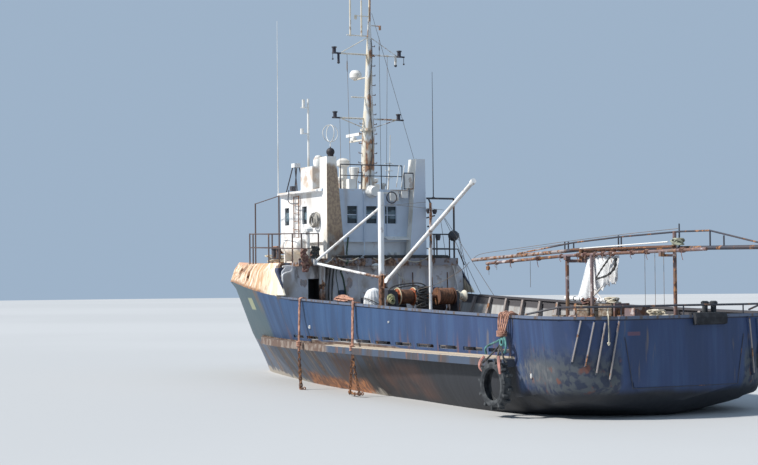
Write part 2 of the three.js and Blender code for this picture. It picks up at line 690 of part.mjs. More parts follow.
// Gear on the wheelhouse roof
addNode('roof_ventilator', turned([18600, 600, ROOF + GAP],
  [[0, 0], [150, 0], [150, 850], [235, 900], [235, 1080], [120, 1160], [0, 1180]], 12), PAINT.white);
addNode('roof_locker', box(19300, 20300, 900, 1500, ROOF + GAP, 7800), PAINT.white);
addNode('roof_radome', turned([19400, 1200, 7800 + GAP],
  [[0, 0], [170, 0], [200, 120], [190, 260], [110, 390], [0, 420]], 12), PAINT.white);
addNode('roof_rail', frameOf([
  ...[-1250, -400, 400, 1250].map((y) => [[17535, y, ROOF + GAP], [17535, y, 7760], 20]),
  [[17535, -1250, 7760], [17535, 1250, 7760], 20],
  [[17535, -1250, 7370], [17535, 1250, 7370], 16],
]), PAINT.white);

// Stand of splayed legs with a lamp box on top
const STAND = { top: 7880, low: ROOF + 9.1 };
addNode('roof_stand', join(
  frameOf([[1150, 1240], [1500, 1410]].flatMap(([y, topY]) => [
    [[21600, y, STAND.low], [21180, topY, STAND.top], 22],
    [[20600, y, STAND.low], [20980, topY, STAND.top], 22],
  ])),
  box(20940, 21220, 1200, 1450, STAND.top - 15, 8020),
), PAINT.dark);

// Life raft in a round canister on two saddles beside the house
const RAFT = { aft: 18350, fore: 19850, y: 2330, z: 4870, radius: 300 };

function raftCanister() {
  const length = RAFT.fore - RAFT.aft;
  const profile = [[0, 0], [150, 15], [250, 70], [RAFT.radius, 190], [RAFT.radius, length / 2 - 60],
    [RAFT.radius + 15, length / 2 - 40], [RAFT.radius + 15, length / 2 + 40],
    [RAFT.radius, length / 2 + 60], [RAFT.radius, length - 190], [250, length - 70],
    [150, length - 15], [0, length]];
  const canister = turnedAcross([0, 0, 0], profile, 18);
  return canister.rotate([0, 0, -90]).translate([RAFT.aft, RAFT.y, RAFT.z]);
}

addNode('raft_canister', raftCanister(), PAINT.white);
addNode('raft_cradle', cut(
  join(...[350, 1050].map((from) => box(RAFT.aft + from, RAFT.aft + from + 100, RAFT.y - 240, RAFT.y + 240,
    BOAT_DECK + GAP, RAFT.z - 120)),
  ...[-200, 160].map((y) => box(RAFT.aft + 360, RAFT.aft + 1140, RAFT.y + y, RAFT.y + y + 40,
    BOAT_DECK + GAP, BOAT_DECK + 60))),
  bar([RAFT.aft, RAFT.y, RAFT.z], [RAFT.fore, RAFT.y, RAFT.z], RAFT.radius + 3, 24)), PAINT.dark);

// Three floodlights on a bar under the aft edge of the roof
function floodlight(y, z, width, height) {
  const back = (x, half, tall) => [
    [x, y - half, z - tall], [x, y + half, z - tall], [x, y + half, z + tall], [x, y - half, z + tall],
  ];
  return join(
    loft([back(17200, width / 2, height / 2), back(17400, width / 3, height / 3)]),
    box(17360, 17430, y - 25, y + 25, Math.min(z, 6750), Math.max(z, 6780)));
}

addNode('floodlights', join(
  box(17400, HOUSE.aft - GAP, -1300, 280, 6740, 6790),
  bar([17120, 70, 6800], [17430, 70, 6800], 170, 14, 235), floodlight(-760, 6640, 340, 340), floodlight(-1180, 6710, 260, 260),
), PAINT.dark);

// Frame of posts and bars at the starboard end of the boat deck, with a round float in it
const FRAME = { s: 17000, inner: -1960, outer: -3100, top: 6570 };
addNode('starboard_frame', join(frameOf([
  [[16835, -2030, DECK + GAP], [16835, -2030, 6400], 55, 8],
  [[16835, -2030, 6380], [FRAME.s, -2030, FRAME.top], 30],
  [[FRAME.s, FRAME.outer, OVERHANG.lip - 140 + GAP], [FRAME.s, FRAME.outer, FRAME.top], 40],
  [[FRAME.s, FRAME.outer, FRAME.top], [FRAME.s, FRAME.inner, FRAME.top], 35],
  [[FRAME.s, FRAME.outer, 5270], [FRAME.s, -2030, 5270], 25],
  [[FRAME.s, FRAME.outer, 4735], [FRAME.s, -2030, 4735], 25],
  [[16835, -2030, 5270], [FRAME.s, -2030, 5270], 25],
  [[16835, -2030, 4735], [FRAME.s, -2030, 4735], 25],
]), box(16965, 17035, -2290, -2200, 6560, 6620), ball([16940, -3040, 5220], 200)), PAINT.rust);
addNode('whip_antenna_starboard',
  bar([FRAME.s, -2245, 6620 + GAP], [FRAME.s, -2245, 11170], 22, 6, 8), PAINT.dark);

// Windlass on the foredeck
addNode('windlass', join(
  box(24150, 24950, -650, 650, BOAT_DECK + GAP, 4420),
  box(24450, 24850, 480, 600, 4400, 5000),
  box(24450, 24850, -600, -480, 4400, 5000),
), PAINT.rust);
addNode('windlass_drum', turnedAcross([24650, 0, 4800],
  [[0, -479.7], [160, -479.7], [160, -440], [110, -420], [110, 420], [160, 440], [160, 479.7], [0, 479.7]], 16),
  PAINT.rust);

// King post and derrick on the port side

const POST = { s: 12000, y: 2600, top: 6470, radius: 95 };
const HEEL = { s: 11650, z: 3610 };
const TIP = { s: 6400, z: 6440 };

addNode('king_post', join(
  bar([POST.s, POST.y, DECK + GAP], [POST.s, POST.y, POST.top], POST.radius, 12),
  box(11700, POST.s, POST.y - 60, POST.y + 60, 3380, 3430),
  box(11700, POST.s, POST.y - 60, POST.y + 60, 3790, 3840),
  bar([POST.s, POST.y, 5990], [16830, POST.y, 4300], 45, 8),
  bar([POST.s, POST.y, 3720], [16830, POST.y, 4235], 45, 8),
  box(16770, OVERHANG.aft - GAP, POST.y - 60, POST.y + 60, 4170, 4370),
), PAINT.white);
addNode('gooseneck', join(
  bar([11790, POST.y, 3430 + GAP], [11790, POST.y, 3790 - GAP], 45, 12),
  box(HEEL.s - 60, 11790, POST.y - 20, POST.y + 20, 3540, 3680),
), PAINT.rust);

function boom() {
  const fork = [1, -1].map((side) => sidePlate(
    [[HEEL.s - 70, HEEL.z - 60], [HEEL.s + 60, HEEL.z - 60], [HEEL.s + 60, HEEL.z + 60],
      [HEEL.s - 180, HEEL.z + 190], [HEEL.s - 260, HEEL.z + 90]],
    POST.y + (side > 0 ? 20 + GAP : -50 - GAP), POST.y + (side > 0 ? 50 + GAP : -20 - GAP)));
  const spar = bar([HEEL.s - 180, POST.y, HEEL.z + 97], [TIP.s, POST.y, TIP.z], 70, 12, 60);
  const head = bar([TIP.s, POST.y, TIP.z], [TIP.s - 120, POST.y, TIP.z + 65], 85, 12);
  return join(spar, head, ...fork);
}

addNode('derrick_boom', boom(), PAINT.white);

// Winch

const WINCH = { s: 13950, z: 3070, radius: 295, core: 130, shaft: 70, bearing: 50 };
// Bearing plates across the winch, and the flanges of the drums between them.
const BEARINGS = [1110, 0, -1270];
const DRUMS = { port: [350, 960], starboard: [-1210, -560] };

addNode('winch_frame', cut(join(
  box(13300, 14700, -1450, 1500, DECK + GAP, 1850),
  ...BEARINGS.map((y) => sidePlate(
    [[13500, 1800], [14500, 1800], [14150, 3250], [13750, 3250]], y - WINCH.bearing, y + WINCH.bearing)),
  box(13700, 14250, 1150, 1450, 1800, 3300),
  box(14250, 14600, -1300, 1100, 1800, 2500),
), bar([WINCH.s, -1400, WINCH.z], [WINCH.s, -1200, WINCH.z], WINCH.shaft + 5, 16)), PAINT.dark);

addNode('winch_drum_port', turnedAcross([WINCH.s, 0, WINCH.z], drumProfile(
  WINCH.bearing + GAP, ...DRUMS.port, BEARINGS[0] - WINCH.bearing - GAP), 20), PAINT.red);

// The starboard shaft goes on through its bearing to a warping head.
addNode('winch_drum_starboard', join(
  turnedAcross([WINCH.s, 0, WINCH.z], drumProfile(
    BEARINGS[2] + WINCH.bearing + GAP, ...DRUMS.starboard, -WINCH.bearing - GAP), 20),
  turnedAcross([WINCH.s, 0, WINCH.z], [[0, -1690], [200, -1690], [200, -1650], [130, -1560],
    [140, -1460], [200, -1380], [WINCH.shaft, -1375], [WINCH.shaft, -1200], [0, -1200]], 16),
), PAINT.rust);

function drumProfile(inner, y0, y1, outer) {
  return [
    [0, inner], [WINCH.shaft, inner], [WINCH.shaft, y0], [WINCH.radius, y0], [WINCH.radius, y0 + 40],
    [WINCH.core, y0 + 40], [WINCH.core, y1 - 40], [WINCH.radius, y1 - 40], [WINCH.radius, y1],
    [WINCH.shaft, y1], [WINCH.shaft, outer], [0, outer],
  ];
}

// Gear under a white cover between the king post and the winch
function coveredGear() {
  const rings = [[12930, 13590, 1760, 2630, DECK + GAP], [12950, 13570, 1780, 2610, 3000],
    [13020, 13510, 1900, 2560, 3220], [13130, 13400, 2120, 2500, 3390]];
  return loft(rings.map(([s0, s1, y0, y1, z]) => {
    const b = 0.28 * (s1 - s0);
    const c = 0.28 * (y1 - y0);
    return [[s0 + b, y0, z], [s1 - b, y0, z], [s1, y0 + c, z], [s1, y1 - c, z],
      [s1 - b, y1, z], [s0 + b, y1, z], [s0, y1 - c, z], [s0, y0 + c, z]];
  }));
}

addNode('covered_gear', coveredGear(), PAINT.canvas);

// Spars stowed fore and aft over the working deck

const PORTAL_S = 4750;
const STERN_POST_S = 350;
const TRUSS_Y = -120;
// station, height of the lower chord, height of the upper chord
const TRUSS_PANELS = [[8200, 4355, 4420], [5200, 4463, 4690], [2900, 4459, 4800], [350, 4430, 4870],
  [-900, 4416, 4860]];
const TRUSS_ENDS = { fore: [10840, 4260], knee: [4750, 4480], aft: [-3200, 4390] };

function sparTruss() {
  const chord = (a, b, radius) => bar([a[0], TRUSS_Y, a[1]], [b[0], TRUSS_Y, b[1]], radius, 8);
  const upper = [...TRUSS_PANELS.map(([s, , z]) => [s, z]), [-3100, 4440]];
  return join(
    chord(TRUSS_ENDS.fore, TRUSS_ENDS.knee, 55),
    chord(TRUSS_ENDS.knee, TRUSS_ENDS.aft, 55),
    ...TRUSS_PANELS.map(([s, low, high]) => chord([s, low], [s, high], 22)),
    ...upper.slice(1).map((end, i) => chord(upper[i], end, 25)),
  );
}

addNode('spar_truss', sparTruss(), PAINT.dark);

const PIPE = { fore: [9240, 350, 4129], knee: [4687, 430, 4304], aft: [-1509, 500, 4373], radius: 45 };

function sparPipe(extra = 0) {
  const radius = PIPE.radius + extra;
  return join(bar(PIPE.fore, PIPE.knee, radius, 8), ball(PIPE.knee, radius, 8, 6),
    bar(PIPE.knee, PIPE.aft, radius, 8));
}

// The lower chords of the truss, for the cradles that carry them.
function trussChords(extra) {
  const end = (e) => [e[0], TRUSS_Y, e[1]];
  return [
    bar(end(TRUSS_ENDS.fore), end(TRUSS_ENDS.knee), 55 + extra, 8),
    bar(end(TRUSS_ENDS.knee), end(TRUSS_ENDS.aft), 55 + extra, 8),
  ];
}

// The fore post also carries the truss on an arm. The second post carries the pipe alone.
const PIPE_POST = { s: 3500, y: 464, top: 4290 };

function portalPosts() {
  const frame = frameOf([
    [[PORTAL_S, 430, DECK + GAP], [PORTAL_S, 430, 4220], 55, 8],
    [[PORTAL_S, -430, DECK + GAP], [PORTAL_S, -430, 4380], 55, 8],
    [[PORTAL_S, -430, 4150], [PORTAL_S, 430, 4150], 45],
    [[PORTAL_S, 430, 2560], [PIPE_POST.s, PIPE_POST.y, 2560], 30],
    [[PIPE_POST.s, PIPE_POST.y, DECK + GAP], [PIPE_POST.s, PIPE_POST.y, PIPE_POST.top], 50, 8],
  ]);
  const cradles = [
    box(PORTAL_S - 60, PORTAL_S + 60, 350, 510, 4180, 4300),
    box(PORTAL_S - 60, PORTAL_S + 60, -470, -30, 4100, 4470),
  ];
  return cut(join(frame, ...cradles), sparPipe(GAP), ...trussChords(GAP));
}

function sternPost() {
  const frame = frameOf([
    [[STERN_POST_S, 40, DECK + GAP], [STERN_POST_S, 40, 4870], 50, 8],
    [[STERN_POST_S, 40, 4240], [STERN_POST_S, 480, 4240], 35],
  ]);
  const cradles = [
    box(STERN_POST_S - 50, STERN_POST_S + 50, 410, 540, 4210, 4345),
    box(STERN_POST_S - 50, STERN_POST_S + 50, -190, 40, 4320, 4400),
  ];
  return cut(join(frame, ...cradles), sparPipe(GAP), ...trussChords(GAP));
}

addNode('spar_pipe', sparPipe(), PAINT.rust);
addNode('portal_posts', portalPosts(), PAINT.rust);
addNode('stern_post', sternPost(), PAINT.rust);
// Torn canvas that hangs from the pipe: s and z of its outline
const CANVAS = [[3742, 4300], [4338, 3090], [3767, 3110], [3285, 3346], [2952, 3513], [2605, 3485],
  [2313, 4300]];
addNode('hanging_canvas', cut(sidePlate(CANVAS, 372, 412), sparPipe(GAP)), PAINT.canvas);

// Stern rail and roller

// s, y, z of the rail from its low forward end round the quarter to the middle of the stern
const STERN_RAIL = [[1850, 3770, 2724], [880, 3400, 2910], [500, 3110, 2915], [70, 2020, 2920],
  [70, 0, 2925]];

function sternRail() {
  const path = [...STERN_RAIL, ...mirrored([STERN_RAIL])[0].reverse().slice(1)];
  const foot = (s) => Math.max(sheerAt(s).z + 20, 2672) + GAP;
  const bars = path.slice(1, -1).map(([s, y, z]) => [[s, y, foot(s)], [s, y, z], 20]);
  for (let i = 0; i + 1 < path.length; i += 1) {
    bars.push([path[i], path[i + 1], 28]);
  }
  return frameOf(bars);
}

addNode('stern_rail', sternRail(), PAINT.dark);

// Rubber pad that hangs over the top of the stern: s and z of its outline
const STERN_PAD = [[-30.3, 2400], [-150, 2430], [-165, 2600], [-110, 2715], [150, 2725],
  [150, 2672.3], [-30.3, 2672.3]];
addNode('stern_pad', sidePlate(STERN_PAD, -1290, -240), PAINT.black);

// Fairlead at the stern: a box with two upright rollers on pins
const ROLLERS = { port: -990, starboard: -1280, s: 400, foot: 2600, top: 3010 };
addNode('roller_stand', join(
  box(250, 600, -1600, -820, DECK + GAP, ROLLERS.foot),
  ...[ROLLERS.port, ROLLERS.starboard].map(
    (y) => bar([ROLLERS.s, y, ROLLERS.foot - 50], [ROLLERS.s, y, ROLLERS.top - 60], 25, 10)),
), PAINT.black);

function uprightRoller(y) {
  const roller = turned([ROLLERS.s, y, ROLLERS.foot + GAP], [[0, 0], [105, 0], [105, 40], [75, 80],
    [75, 290], [110, 330], [110, 390], [70, 420], [0, 420]], 16);
  return cut(roller, bar([ROLLERS.s, y, ROLLERS.foot - 100], [ROLLERS.s, y, ROLLERS.top - 55], 27, 10));
}

addNode('stern_roller_port', uprightRoller(ROLLERS.port), PAINT.black);
addNode('stern_roller_starboard', uprightRoller(ROLLERS.starboard), PAINT.black);

// Rope end that hangs from the stern rail over the port quarter
const ROPE_ROUTE = [[200, 2350, 2889.9], [200, 2350, 2810], [130, 2395, 2728], [65, 2432, 2700],
  [38, 2446, 2620], [32, 2448, 2300], [32, 2448, 1990]];

function quarterRope() {
  const path = new THREE.CatmullRomCurve3(ROPE_ROUTE.map((p) => new THREE.Vector3(...p)));
  const section = Array.from({ length: 8 }, (_, i) => {
    const angle = (i * Math.PI) / 4;
    return new THREE.Vector2(15 * Math.cos(angle), 15 * Math.sin(angle));
  });
  const options = { steps: 24, bevelEnabled: false, extrudePath: path };
  return toSolid(new THREE.ExtrudeGeometry(new THREE.Shape(section), options));
}

addNode('quarter_rope', quarterRope(), PAINT.canvas);

// Rolled canvas on the starboard bulwark
const ROLL = { fore: 10900, aft: 8050, y: -3760, radius: 75 };
const [rollAft, rollFore] = [ROLL.aft, ROLL.fore].map(
  (s) => [s, ROLL.y, sheerAt(s).z + CAP.above + ROLL.radius + GAP]);
addNode('canvas_roll', bar(rollAft, rollFore, ROLL.radius, 10), PAINT.canvas);

// Tyre fender with lugs, hung outboard of the port strake
const TYRE = { s: 2640, z: 870, tread: 600, bead: 415, half: 150, touches: 3022, press: 2.1 };
TYRE.y = halfBreadth(TYRE.touches, STRAKE.high) + STRAKE.reach + TYRE.half - TYRE.press;

function tyre() {
  const { tread, bead, half } = TYRE;
  const section = [[bead, -half + 45], [bead + 45, -half], [tread - 60, -half], [tread, -half + 40],
    [tread, half - 40], [tread - 60, half], [bead + 45, half], [bead, half - 45],
    [bead + 20, half - 55], [tread - 45, half - 50], [tread - 45, 50 - half], [bead + 20, 55 - half],
    [bead, 45 - half]];
  const ring = turnedAcross([TYRE.s, TYRE.y, TYRE.z], section, 32);
  const lugs = Array.from({ length: 22 }, (_, i) => {
    const geometry = new THREE.BoxGeometry(70, 150, 110);
    geometry.translate(0, i % 2 ? 65 : -65, tread + 10);
    geometry.rotateY((i * 2 * Math.PI) / 22);
    geometry.translate(TYRE.s, TYRE.y, TYRE.z);
    return toSolid(geometry);
  });
  return join(ring, ...lugs);
}

addNode('tyre_fender', tyre(), PAINT.black);

// Fish hatch
addNode('hatch_coaming', cut(
  box(8000, 9600, -800, 800, DECK + GAP, 2050), box(8150, 9450, -650, 650, 1600, 2100)), PAINT.rust);
addNode('hatch_lid', join(
  box(7960, 9600, -840, 840, 2050 + GAP, 2110),
  bar([9680, -600, 2080], [9680, 600, 2080], 20),
  box(9560, 9680, -500, -400, 2065, 2095),
  box(9560, 9680, 400, 500, 2065, 2095),
), PAINT.rust);

// Rudder and propeller

const SHAFT = { z: -1230 };
addNode('rudder', join(
  sidePlate([[350, -2050], [1350, -2050], [1350, -600], [450, -480]], -60, 60),
  bar([1100, 0, -2179.6], [1100, 0, -200], 65, 12),
), PAINT.rust);

function blade(i) {
  const geometry = new THREE.BoxGeometry(40, 330, 470);
  geometry.rotateZ(0.5);
  geometry.translate(0, 0, 340);
  geometry.rotateX((i * Math.PI) / 2);
  geometry.translate(2330, 0, SHAFT.z);
  return toSolid(geometry);
}

addNode('propeller', join(
  bar([2130, 0, SHAFT.z], [2480, 0, SHAFT.z], 110, 16, 135),
  bar([2450, 0, SHAFT.z], [2700 - GAP, 0, SHAFT.z], 70, 12),
  ...[0, 1, 2, 3].map(blade),
), PAINT.bronze);

ship.position.x = -MIDSHIP;

export default ship;
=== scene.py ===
# %% [markdown]
# # A steel fishing support ship, dressed for its portrait
#
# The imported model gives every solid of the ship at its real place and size. This script keeps
# those solids where they are and gives them what a camera sees: worn paint, rust, rope, canvas,
# rigging and small fittings. Lengths are metres. +X points to the bow, +Y to port, and z = 0 is
# the waterline. Stations on the drawings are counted from the transom, so `at` turns a station
# into this frame.

import math

import bpy
import numpy as np
from mathutils import Matrix, Vector


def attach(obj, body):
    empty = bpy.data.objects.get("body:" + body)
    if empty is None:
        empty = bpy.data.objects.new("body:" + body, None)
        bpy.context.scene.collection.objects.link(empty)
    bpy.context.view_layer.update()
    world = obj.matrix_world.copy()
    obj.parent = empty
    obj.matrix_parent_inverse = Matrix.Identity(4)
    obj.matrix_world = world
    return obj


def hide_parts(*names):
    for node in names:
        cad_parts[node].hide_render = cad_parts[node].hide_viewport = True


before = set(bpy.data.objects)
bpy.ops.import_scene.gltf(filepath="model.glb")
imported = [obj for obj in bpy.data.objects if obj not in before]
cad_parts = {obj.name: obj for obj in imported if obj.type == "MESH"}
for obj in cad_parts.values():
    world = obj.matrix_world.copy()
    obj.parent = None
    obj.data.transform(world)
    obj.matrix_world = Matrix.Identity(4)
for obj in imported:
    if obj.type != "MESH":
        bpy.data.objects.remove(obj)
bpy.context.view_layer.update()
MIDSHIP = 15.0


def at(s, y, z):
    """A point from its station, its distance to port and its height."""
    return np.array([s - MIDSHIP, y, z], float)


# %% [markdown]
# ## The camera
#
# The ship was seen from low down, off its port quarter, through a long lens. The lens, the
# place of the camera and its small tilt were worked out from the waterline, the mast yards and
# the transom, which is the usual way to match a view. A matched camera lets every piece be
# compared with the real one.

# %% Camera
LENS_PIXELS, FRAME_PIXELS = 1614.2, 758
PITCH, ROLL = 0.0278, 0.0092
HEADING = (0.88192, -0.4714)
CAMERA_PLACE = (-48.613, 27.055, 3.728)


def make_camera():
    """The level direction is tipped up by the pitch, then turned about itself by the roll."""
    level = np.array([HEADING[0], HEADING[1], 0])
    right = np.array([HEADING[1], -HEADING[0], 0])
    up = np.array([0, 0, 1.0])
    ahead = math.cos(PITCH) * level + math.sin(PITCH) * up
    above = -math.sin(PITCH) * level + math.cos(PITCH) * up
    side = math.cos(ROLL) * right - math.sin(ROLL) * above
    top = math.sin(ROLL) * right + math.cos(ROLL) * above
    lens = bpy.data.cameras.new("camera")
    lens.sensor_width = 36
    lens.lens = LENS_PIXELS * 36 / FRAME_PIXELS
    lens.clip_end = 500
    camera = bpy.data.objects.new("camera", lens)
    bpy.context.scene.collection.objects.link(camera)
    turn = Matrix([side, top, -ahead]).transposed()
    camera.matrix_world = Matrix.Translation(CAMERA_PLACE) @ turn.to_4x4()
    bpy.context.scene.camera = camera
    return lens.lens


print("lens in mm:", round(make_camera(), 2))

# %% [markdown]
# ## Surfaces as arrays
#
# Most small pieces of a ship are bars, ropes, turned shapes and boxes. Each can be written as a
# formula on a grid: one parameter runs along the piece and the other round it. Working out the
# whole grid at once is quick, and the faces follow from the grid by counting.

# %% Faces of a grid and closed tubes
def grid_faces(rows, columns, ring=True):
    """Quads of a grid: each joins a point to its neighbours along and round. A ring closes round."""
    i, j = np.meshgrid(np.arange(rows - 1), np.arange(columns if ring else columns - 1), indexing="ij")
    k = (j + 1) % columns
    quads = [i * columns + j, i * columns + k, (i + 1) * columns + k, (i + 1) * columns + j]
    return np.stack(quads, -1).reshape(-1, 4)


def closed_tube(points):
    """A grid of rings (rows, sides, 3) with a flat fan of faces over each end."""
    rows, sides, _ = points.shape
    body = grid_faces(rows, sides)
    start, end = points[0].mean(0), points[-1].mean(0)
    j = np.arange(sides)
    k = (j + 1) % sides
    a, b, last = rows * sides, rows * sides + 1, (rows - 1) * sides
    fans = np.concatenate([
        np.stack([np.full(sides, a), k, j, j], -1),
        np.stack([np.full(sides, b), last + j, last + k, last + k], -1),
    ])
    return np.vstack([points.reshape(-1, 3), start, end]), np.vstack([body, fans])


print("faces of a ring grid, 3 rows by 4:", len(grid_faces(3, 4)))

# %% [markdown]
# A bar, a pipe or a wire is a round section carried along a path. The section has to stand
# square to the path everywhere, so each point gets two directions of its own.

# %% Sweeps and straight bars
def frames(path):
    """Two directions square to the path at each point: a fixed axis that the path never follows,
    less its share along the path, and the cross product of the two."""
    ahead = np.gradient(path, axis=0)
    ahead /= np.linalg.norm(ahead, axis=1, keepdims=True)
    axis = np.eye(3)[np.abs(ahead).max(0).argmin()]
    one = axis - (ahead @ axis)[:, None] * ahead
    one /= np.linalg.norm(one, axis=1, keepdims=True)
    return one, np.cross(ahead, one)


def sweep(path, radius, sides=8):
    """A round section carried along a path: centre + radius * (cos * one + sin * two)."""
    path = np.asarray(path, float)
    one, two = frames(path)
    angle = np.linspace(0, 2 * np.pi, sides, endpoint=False)
    size = np.broadcast_to(radius, len(path))[:, None, None]
    ring = np.cos(angle)[None, :, None] * one[:, None] + np.sin(angle)[None, :, None] * two[:, None]
    return closed_tube(path[:, None] + size * ring)


def bar(start, end, radius, sides=8):
    """A straight sweep between two points."""
    return sweep(np.array([start, (np.asarray(start) + end) / 2, end]), radius, sides)


def bars(ends, radius, sides=8):
    """Straight bars between pairs of (station, y, z)."""
    return [bar(at(*start), at(*end), radius, sides) for start, end in ends]


print("points of a bar:", len(bar(at(0, 0, 0), at(1, 0, 0), 0.1)[0]))

# %% [markdown]
# Few points are enough to say where a rope or a pipe runs. A smooth line through them gives
# the sweep its path, and a slack line sags between its ends.

# %% Lines through points
def smooth_line(knots, count):
    """A smooth line through knots: each piece between two knots is a cubic whose slope at a knot
    is half the step between that knot's neighbours."""
    knots = np.asarray(knots, float)
    slope = np.gradient(knots, axis=0)
    u = np.linspace(0, len(knots) - 1, count)
    i = np.minimum(u.astype(int), len(knots) - 2)
    t = (u - i)[:, None]
    return ((2 * t**3 - 3 * t**2 + 1) * knots[i] + (t**3 - 2 * t**2 + t) * slope[i]
            + (3 * t**2 - 2 * t**3) * knots[i + 1] + (t**3 - t**2) * slope[i + 1])


def route(rows, count):
    """A smooth line through rows of (station, y, z)."""
    return smooth_line([at(*row) for row in rows], count)


def table(rows, x):
    """A value read from rows of (x, value) on straight lines."""
    return np.interp(x, *zip(*rows))


def hanging_line(start, end, sag, count):
    """A slack line: straight from start to end, less sag * 4 * t * (1 - t) in height."""
    t = np.linspace(0, 1, count)[:, None]
    line = np.asarray(start) * (1 - t) + np.asarray(end) * t
    line[:, 2] -= (4 * sag * t * (1 - t))[:, 0]
    return line


print("sag in the middle of a line:", round(-hanging_line(at(0, 0, 0), at(2, 0, 0), 0.1, 3)[1, 2], 3))

# %% [markdown]
# Lamps, vents and bollards were turned or pressed round, so one profile and one axis say
# all of their shape. Boxes need their eight corners only.

# %% Turned shapes, balls and boxes
def turned(centre, profile, sides=20, axis=2):
    """A profile of (radius, height) pairs turned about an axis through centre."""
    profile = np.asarray(profile, float)
    angle = np.linspace(0, 2 * np.pi, sides, endpoint=False)
    r, h = np.maximum(profile[:, :1], 1e-4), np.broadcast_to(profile[:, 1:], (len(profile), sides))
    points = np.stack([r * np.cos(angle), r * np.sin(angle), h], -1)
    points = np.roll(points, axis - 2, axis=2)
    return closed_tube(points + np.asarray(centre))


def ball(centre, radius, sides=20):
    """A turned half circle."""
    t = np.linspace(-np.pi / 2, np.pi / 2, sides // 2 + 1)
    return turned(centre, np.stack([radius * np.cos(t), radius * np.sin(t)], -1), sides)


BOX_CORNERS = np.array([[i, j, k] for i in (0, 1) for j in (0, 1) for k in (0, 1)])
BOX_FACES = np.array([[0, 1, 3, 2], [4, 6, 7, 5], [0, 4, 5, 1], [2, 3, 7, 6], [0, 2, 6, 4], [1, 5, 7, 3]])


def box(low, high):
    """A box between two corners."""
    return np.asarray(low) + BOX_CORNERS * (np.asarray(high) - np.asarray(low)), BOX_FACES


print("corners of a box:", len(BOX_CORNERS))

# %% [markdown]
# The parts of one piece are put together as one mesh, because they never move apart, and
# fewer objects are quicker to render and to keep in order.

# %% From arrays to a piece
def together(parts):
    """Several (points, faces) pairs as one: each part's face numbers are moved past the points
    of the parts before it."""
    starts = np.cumsum([0] + [len(points) for points, _ in parts[:-1]])
    points = np.vstack([points for points, _ in parts])
    return points, np.vstack([faces + start for (_, faces), start in zip(parts, starts)])


def make_piece(name, parts, material, body="ship", crease=35):
    """A new mesh object from parts, riding on a body. Edges sharper than crease stay sharp."""
    points, faces = together(parts)
    mesh = bpy.data.meshes.new(name)
    rows = [list(dict.fromkeys(face)) for face in faces.tolist()]
    mesh.from_pydata(points.tolist(), [], rows)
    mesh.validate()
    mesh.shade_smooth()
    mesh.set_sharp_from_angle(angle=math.radians(crease))
    made = bpy.data.objects.new(name, mesh)
    made.data.materials.append(material)
    bpy.context.scene.collection.objects.link(made)
    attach(made, body)
    print(f"{name}: {len(rows)} faces")
    return made


# %% [markdown]
# ## Writing materials as formulas
#
# Worn paint is one colour laid over another where a mask says so, and a mask is arithmetic on
# noise and height. Wrapping a node socket in a small class lets that arithmetic be written as
# Python, with the Math nodes added behind it.

# %% A socket that can be used in formulas
class Value:
    """An output socket of a material. + - * between it and numbers add Math nodes."""

    def __init__(self, tree, socket):
        self.tree, self.socket = tree, socket

    def node(self, kind, settings=None, output=0, **sockets):
        """Adds any node: settings first, then a number, a colour or a link for each socket.
        A socket is named by its label with spaces as _, or by _ and its number."""
        made = self.tree.nodes.new(kind)
        for key, setting in (settings or {}).items():
            if key == "stops":
                set_stops(made.color_ramp, setting)
            else:
                setattr(made, key, setting)
        for key, value in sockets.items():
            number = int(key[1:]) if key[0] == "_" else key.replace("_", " ")
            if isinstance(value, Value):
                self.tree.links.new(value.socket, made.inputs[number])
            else:
                made.inputs[number].default_value = value
        return Value(self.tree, made.outputs[output])

    def math(self, operation, a, b=0.0):
        """One Math node with two values."""
        return self.node("ShaderNodeMath", {"operation": operation}, _0=a, _1=b)

    def __add__(self, other):
        return self.math("ADD", self, other)

    def __sub__(self, other):
        return self.math("SUBTRACT", self, other)

    def __rsub__(self, other):
        return self.math("SUBTRACT", other, self)

    def __mul__(self, other):
        return self.math("MULTIPLY", self, other)

    __radd__ = __add__
    __rmul__ = __mul__

    def ramp(self, low, high):
        """0 below low and 1 above high, with a smooth way between. Swapped limits turn it round."""
        settings = {"interpolation_type": "SMOOTHSTEP", "clamp": True}
        if low > high:
            return 1 - self.ramp(high, low)
        return self.node("ShaderNodeMapRange", settings, _0=self, _1=low, _2=high, _3=0.0, _4=1.0)

    def within(self, low, high, soft):
        """1 between low and high, falling to 0 over a soft width at both ends."""
        return self.ramp(low - soft, low) * self.ramp(high + soft, high)

    def curve(self, points):
        """Straight lines through (value, height) points, as a grey ramp over their range."""
        low, high = points[0][0], points[-1][0]
        top = max(h for _, h in points)
        stops = [((v - low) / (high - low), (h / top, h / top, h / top, 1)) for v, h in points]
        share = self.node("ShaderNodeMapRange", None, _0=self, _1=low, _2=high, _3=0.0, _4=1.0)
        return share.node("ShaderNodeValToRGB", {"stops": stops}, _0=share) * top


# %% [markdown]
# A material starts from the place of each point on the ship and a few noises of it. This
# small class holds them, so that a finish below is only its own mixes and masks.

# %% One material and its noises
def set_stops(ramp, stops):
    """Gives a colour ramp its stops: (place, colour)."""
    while len(ramp.elements) < len(stops):
        ramp.elements.new(0.5)
    for element, (place, colour) in zip(ramp.elements, stops):
        element.position, element.color = place, colour


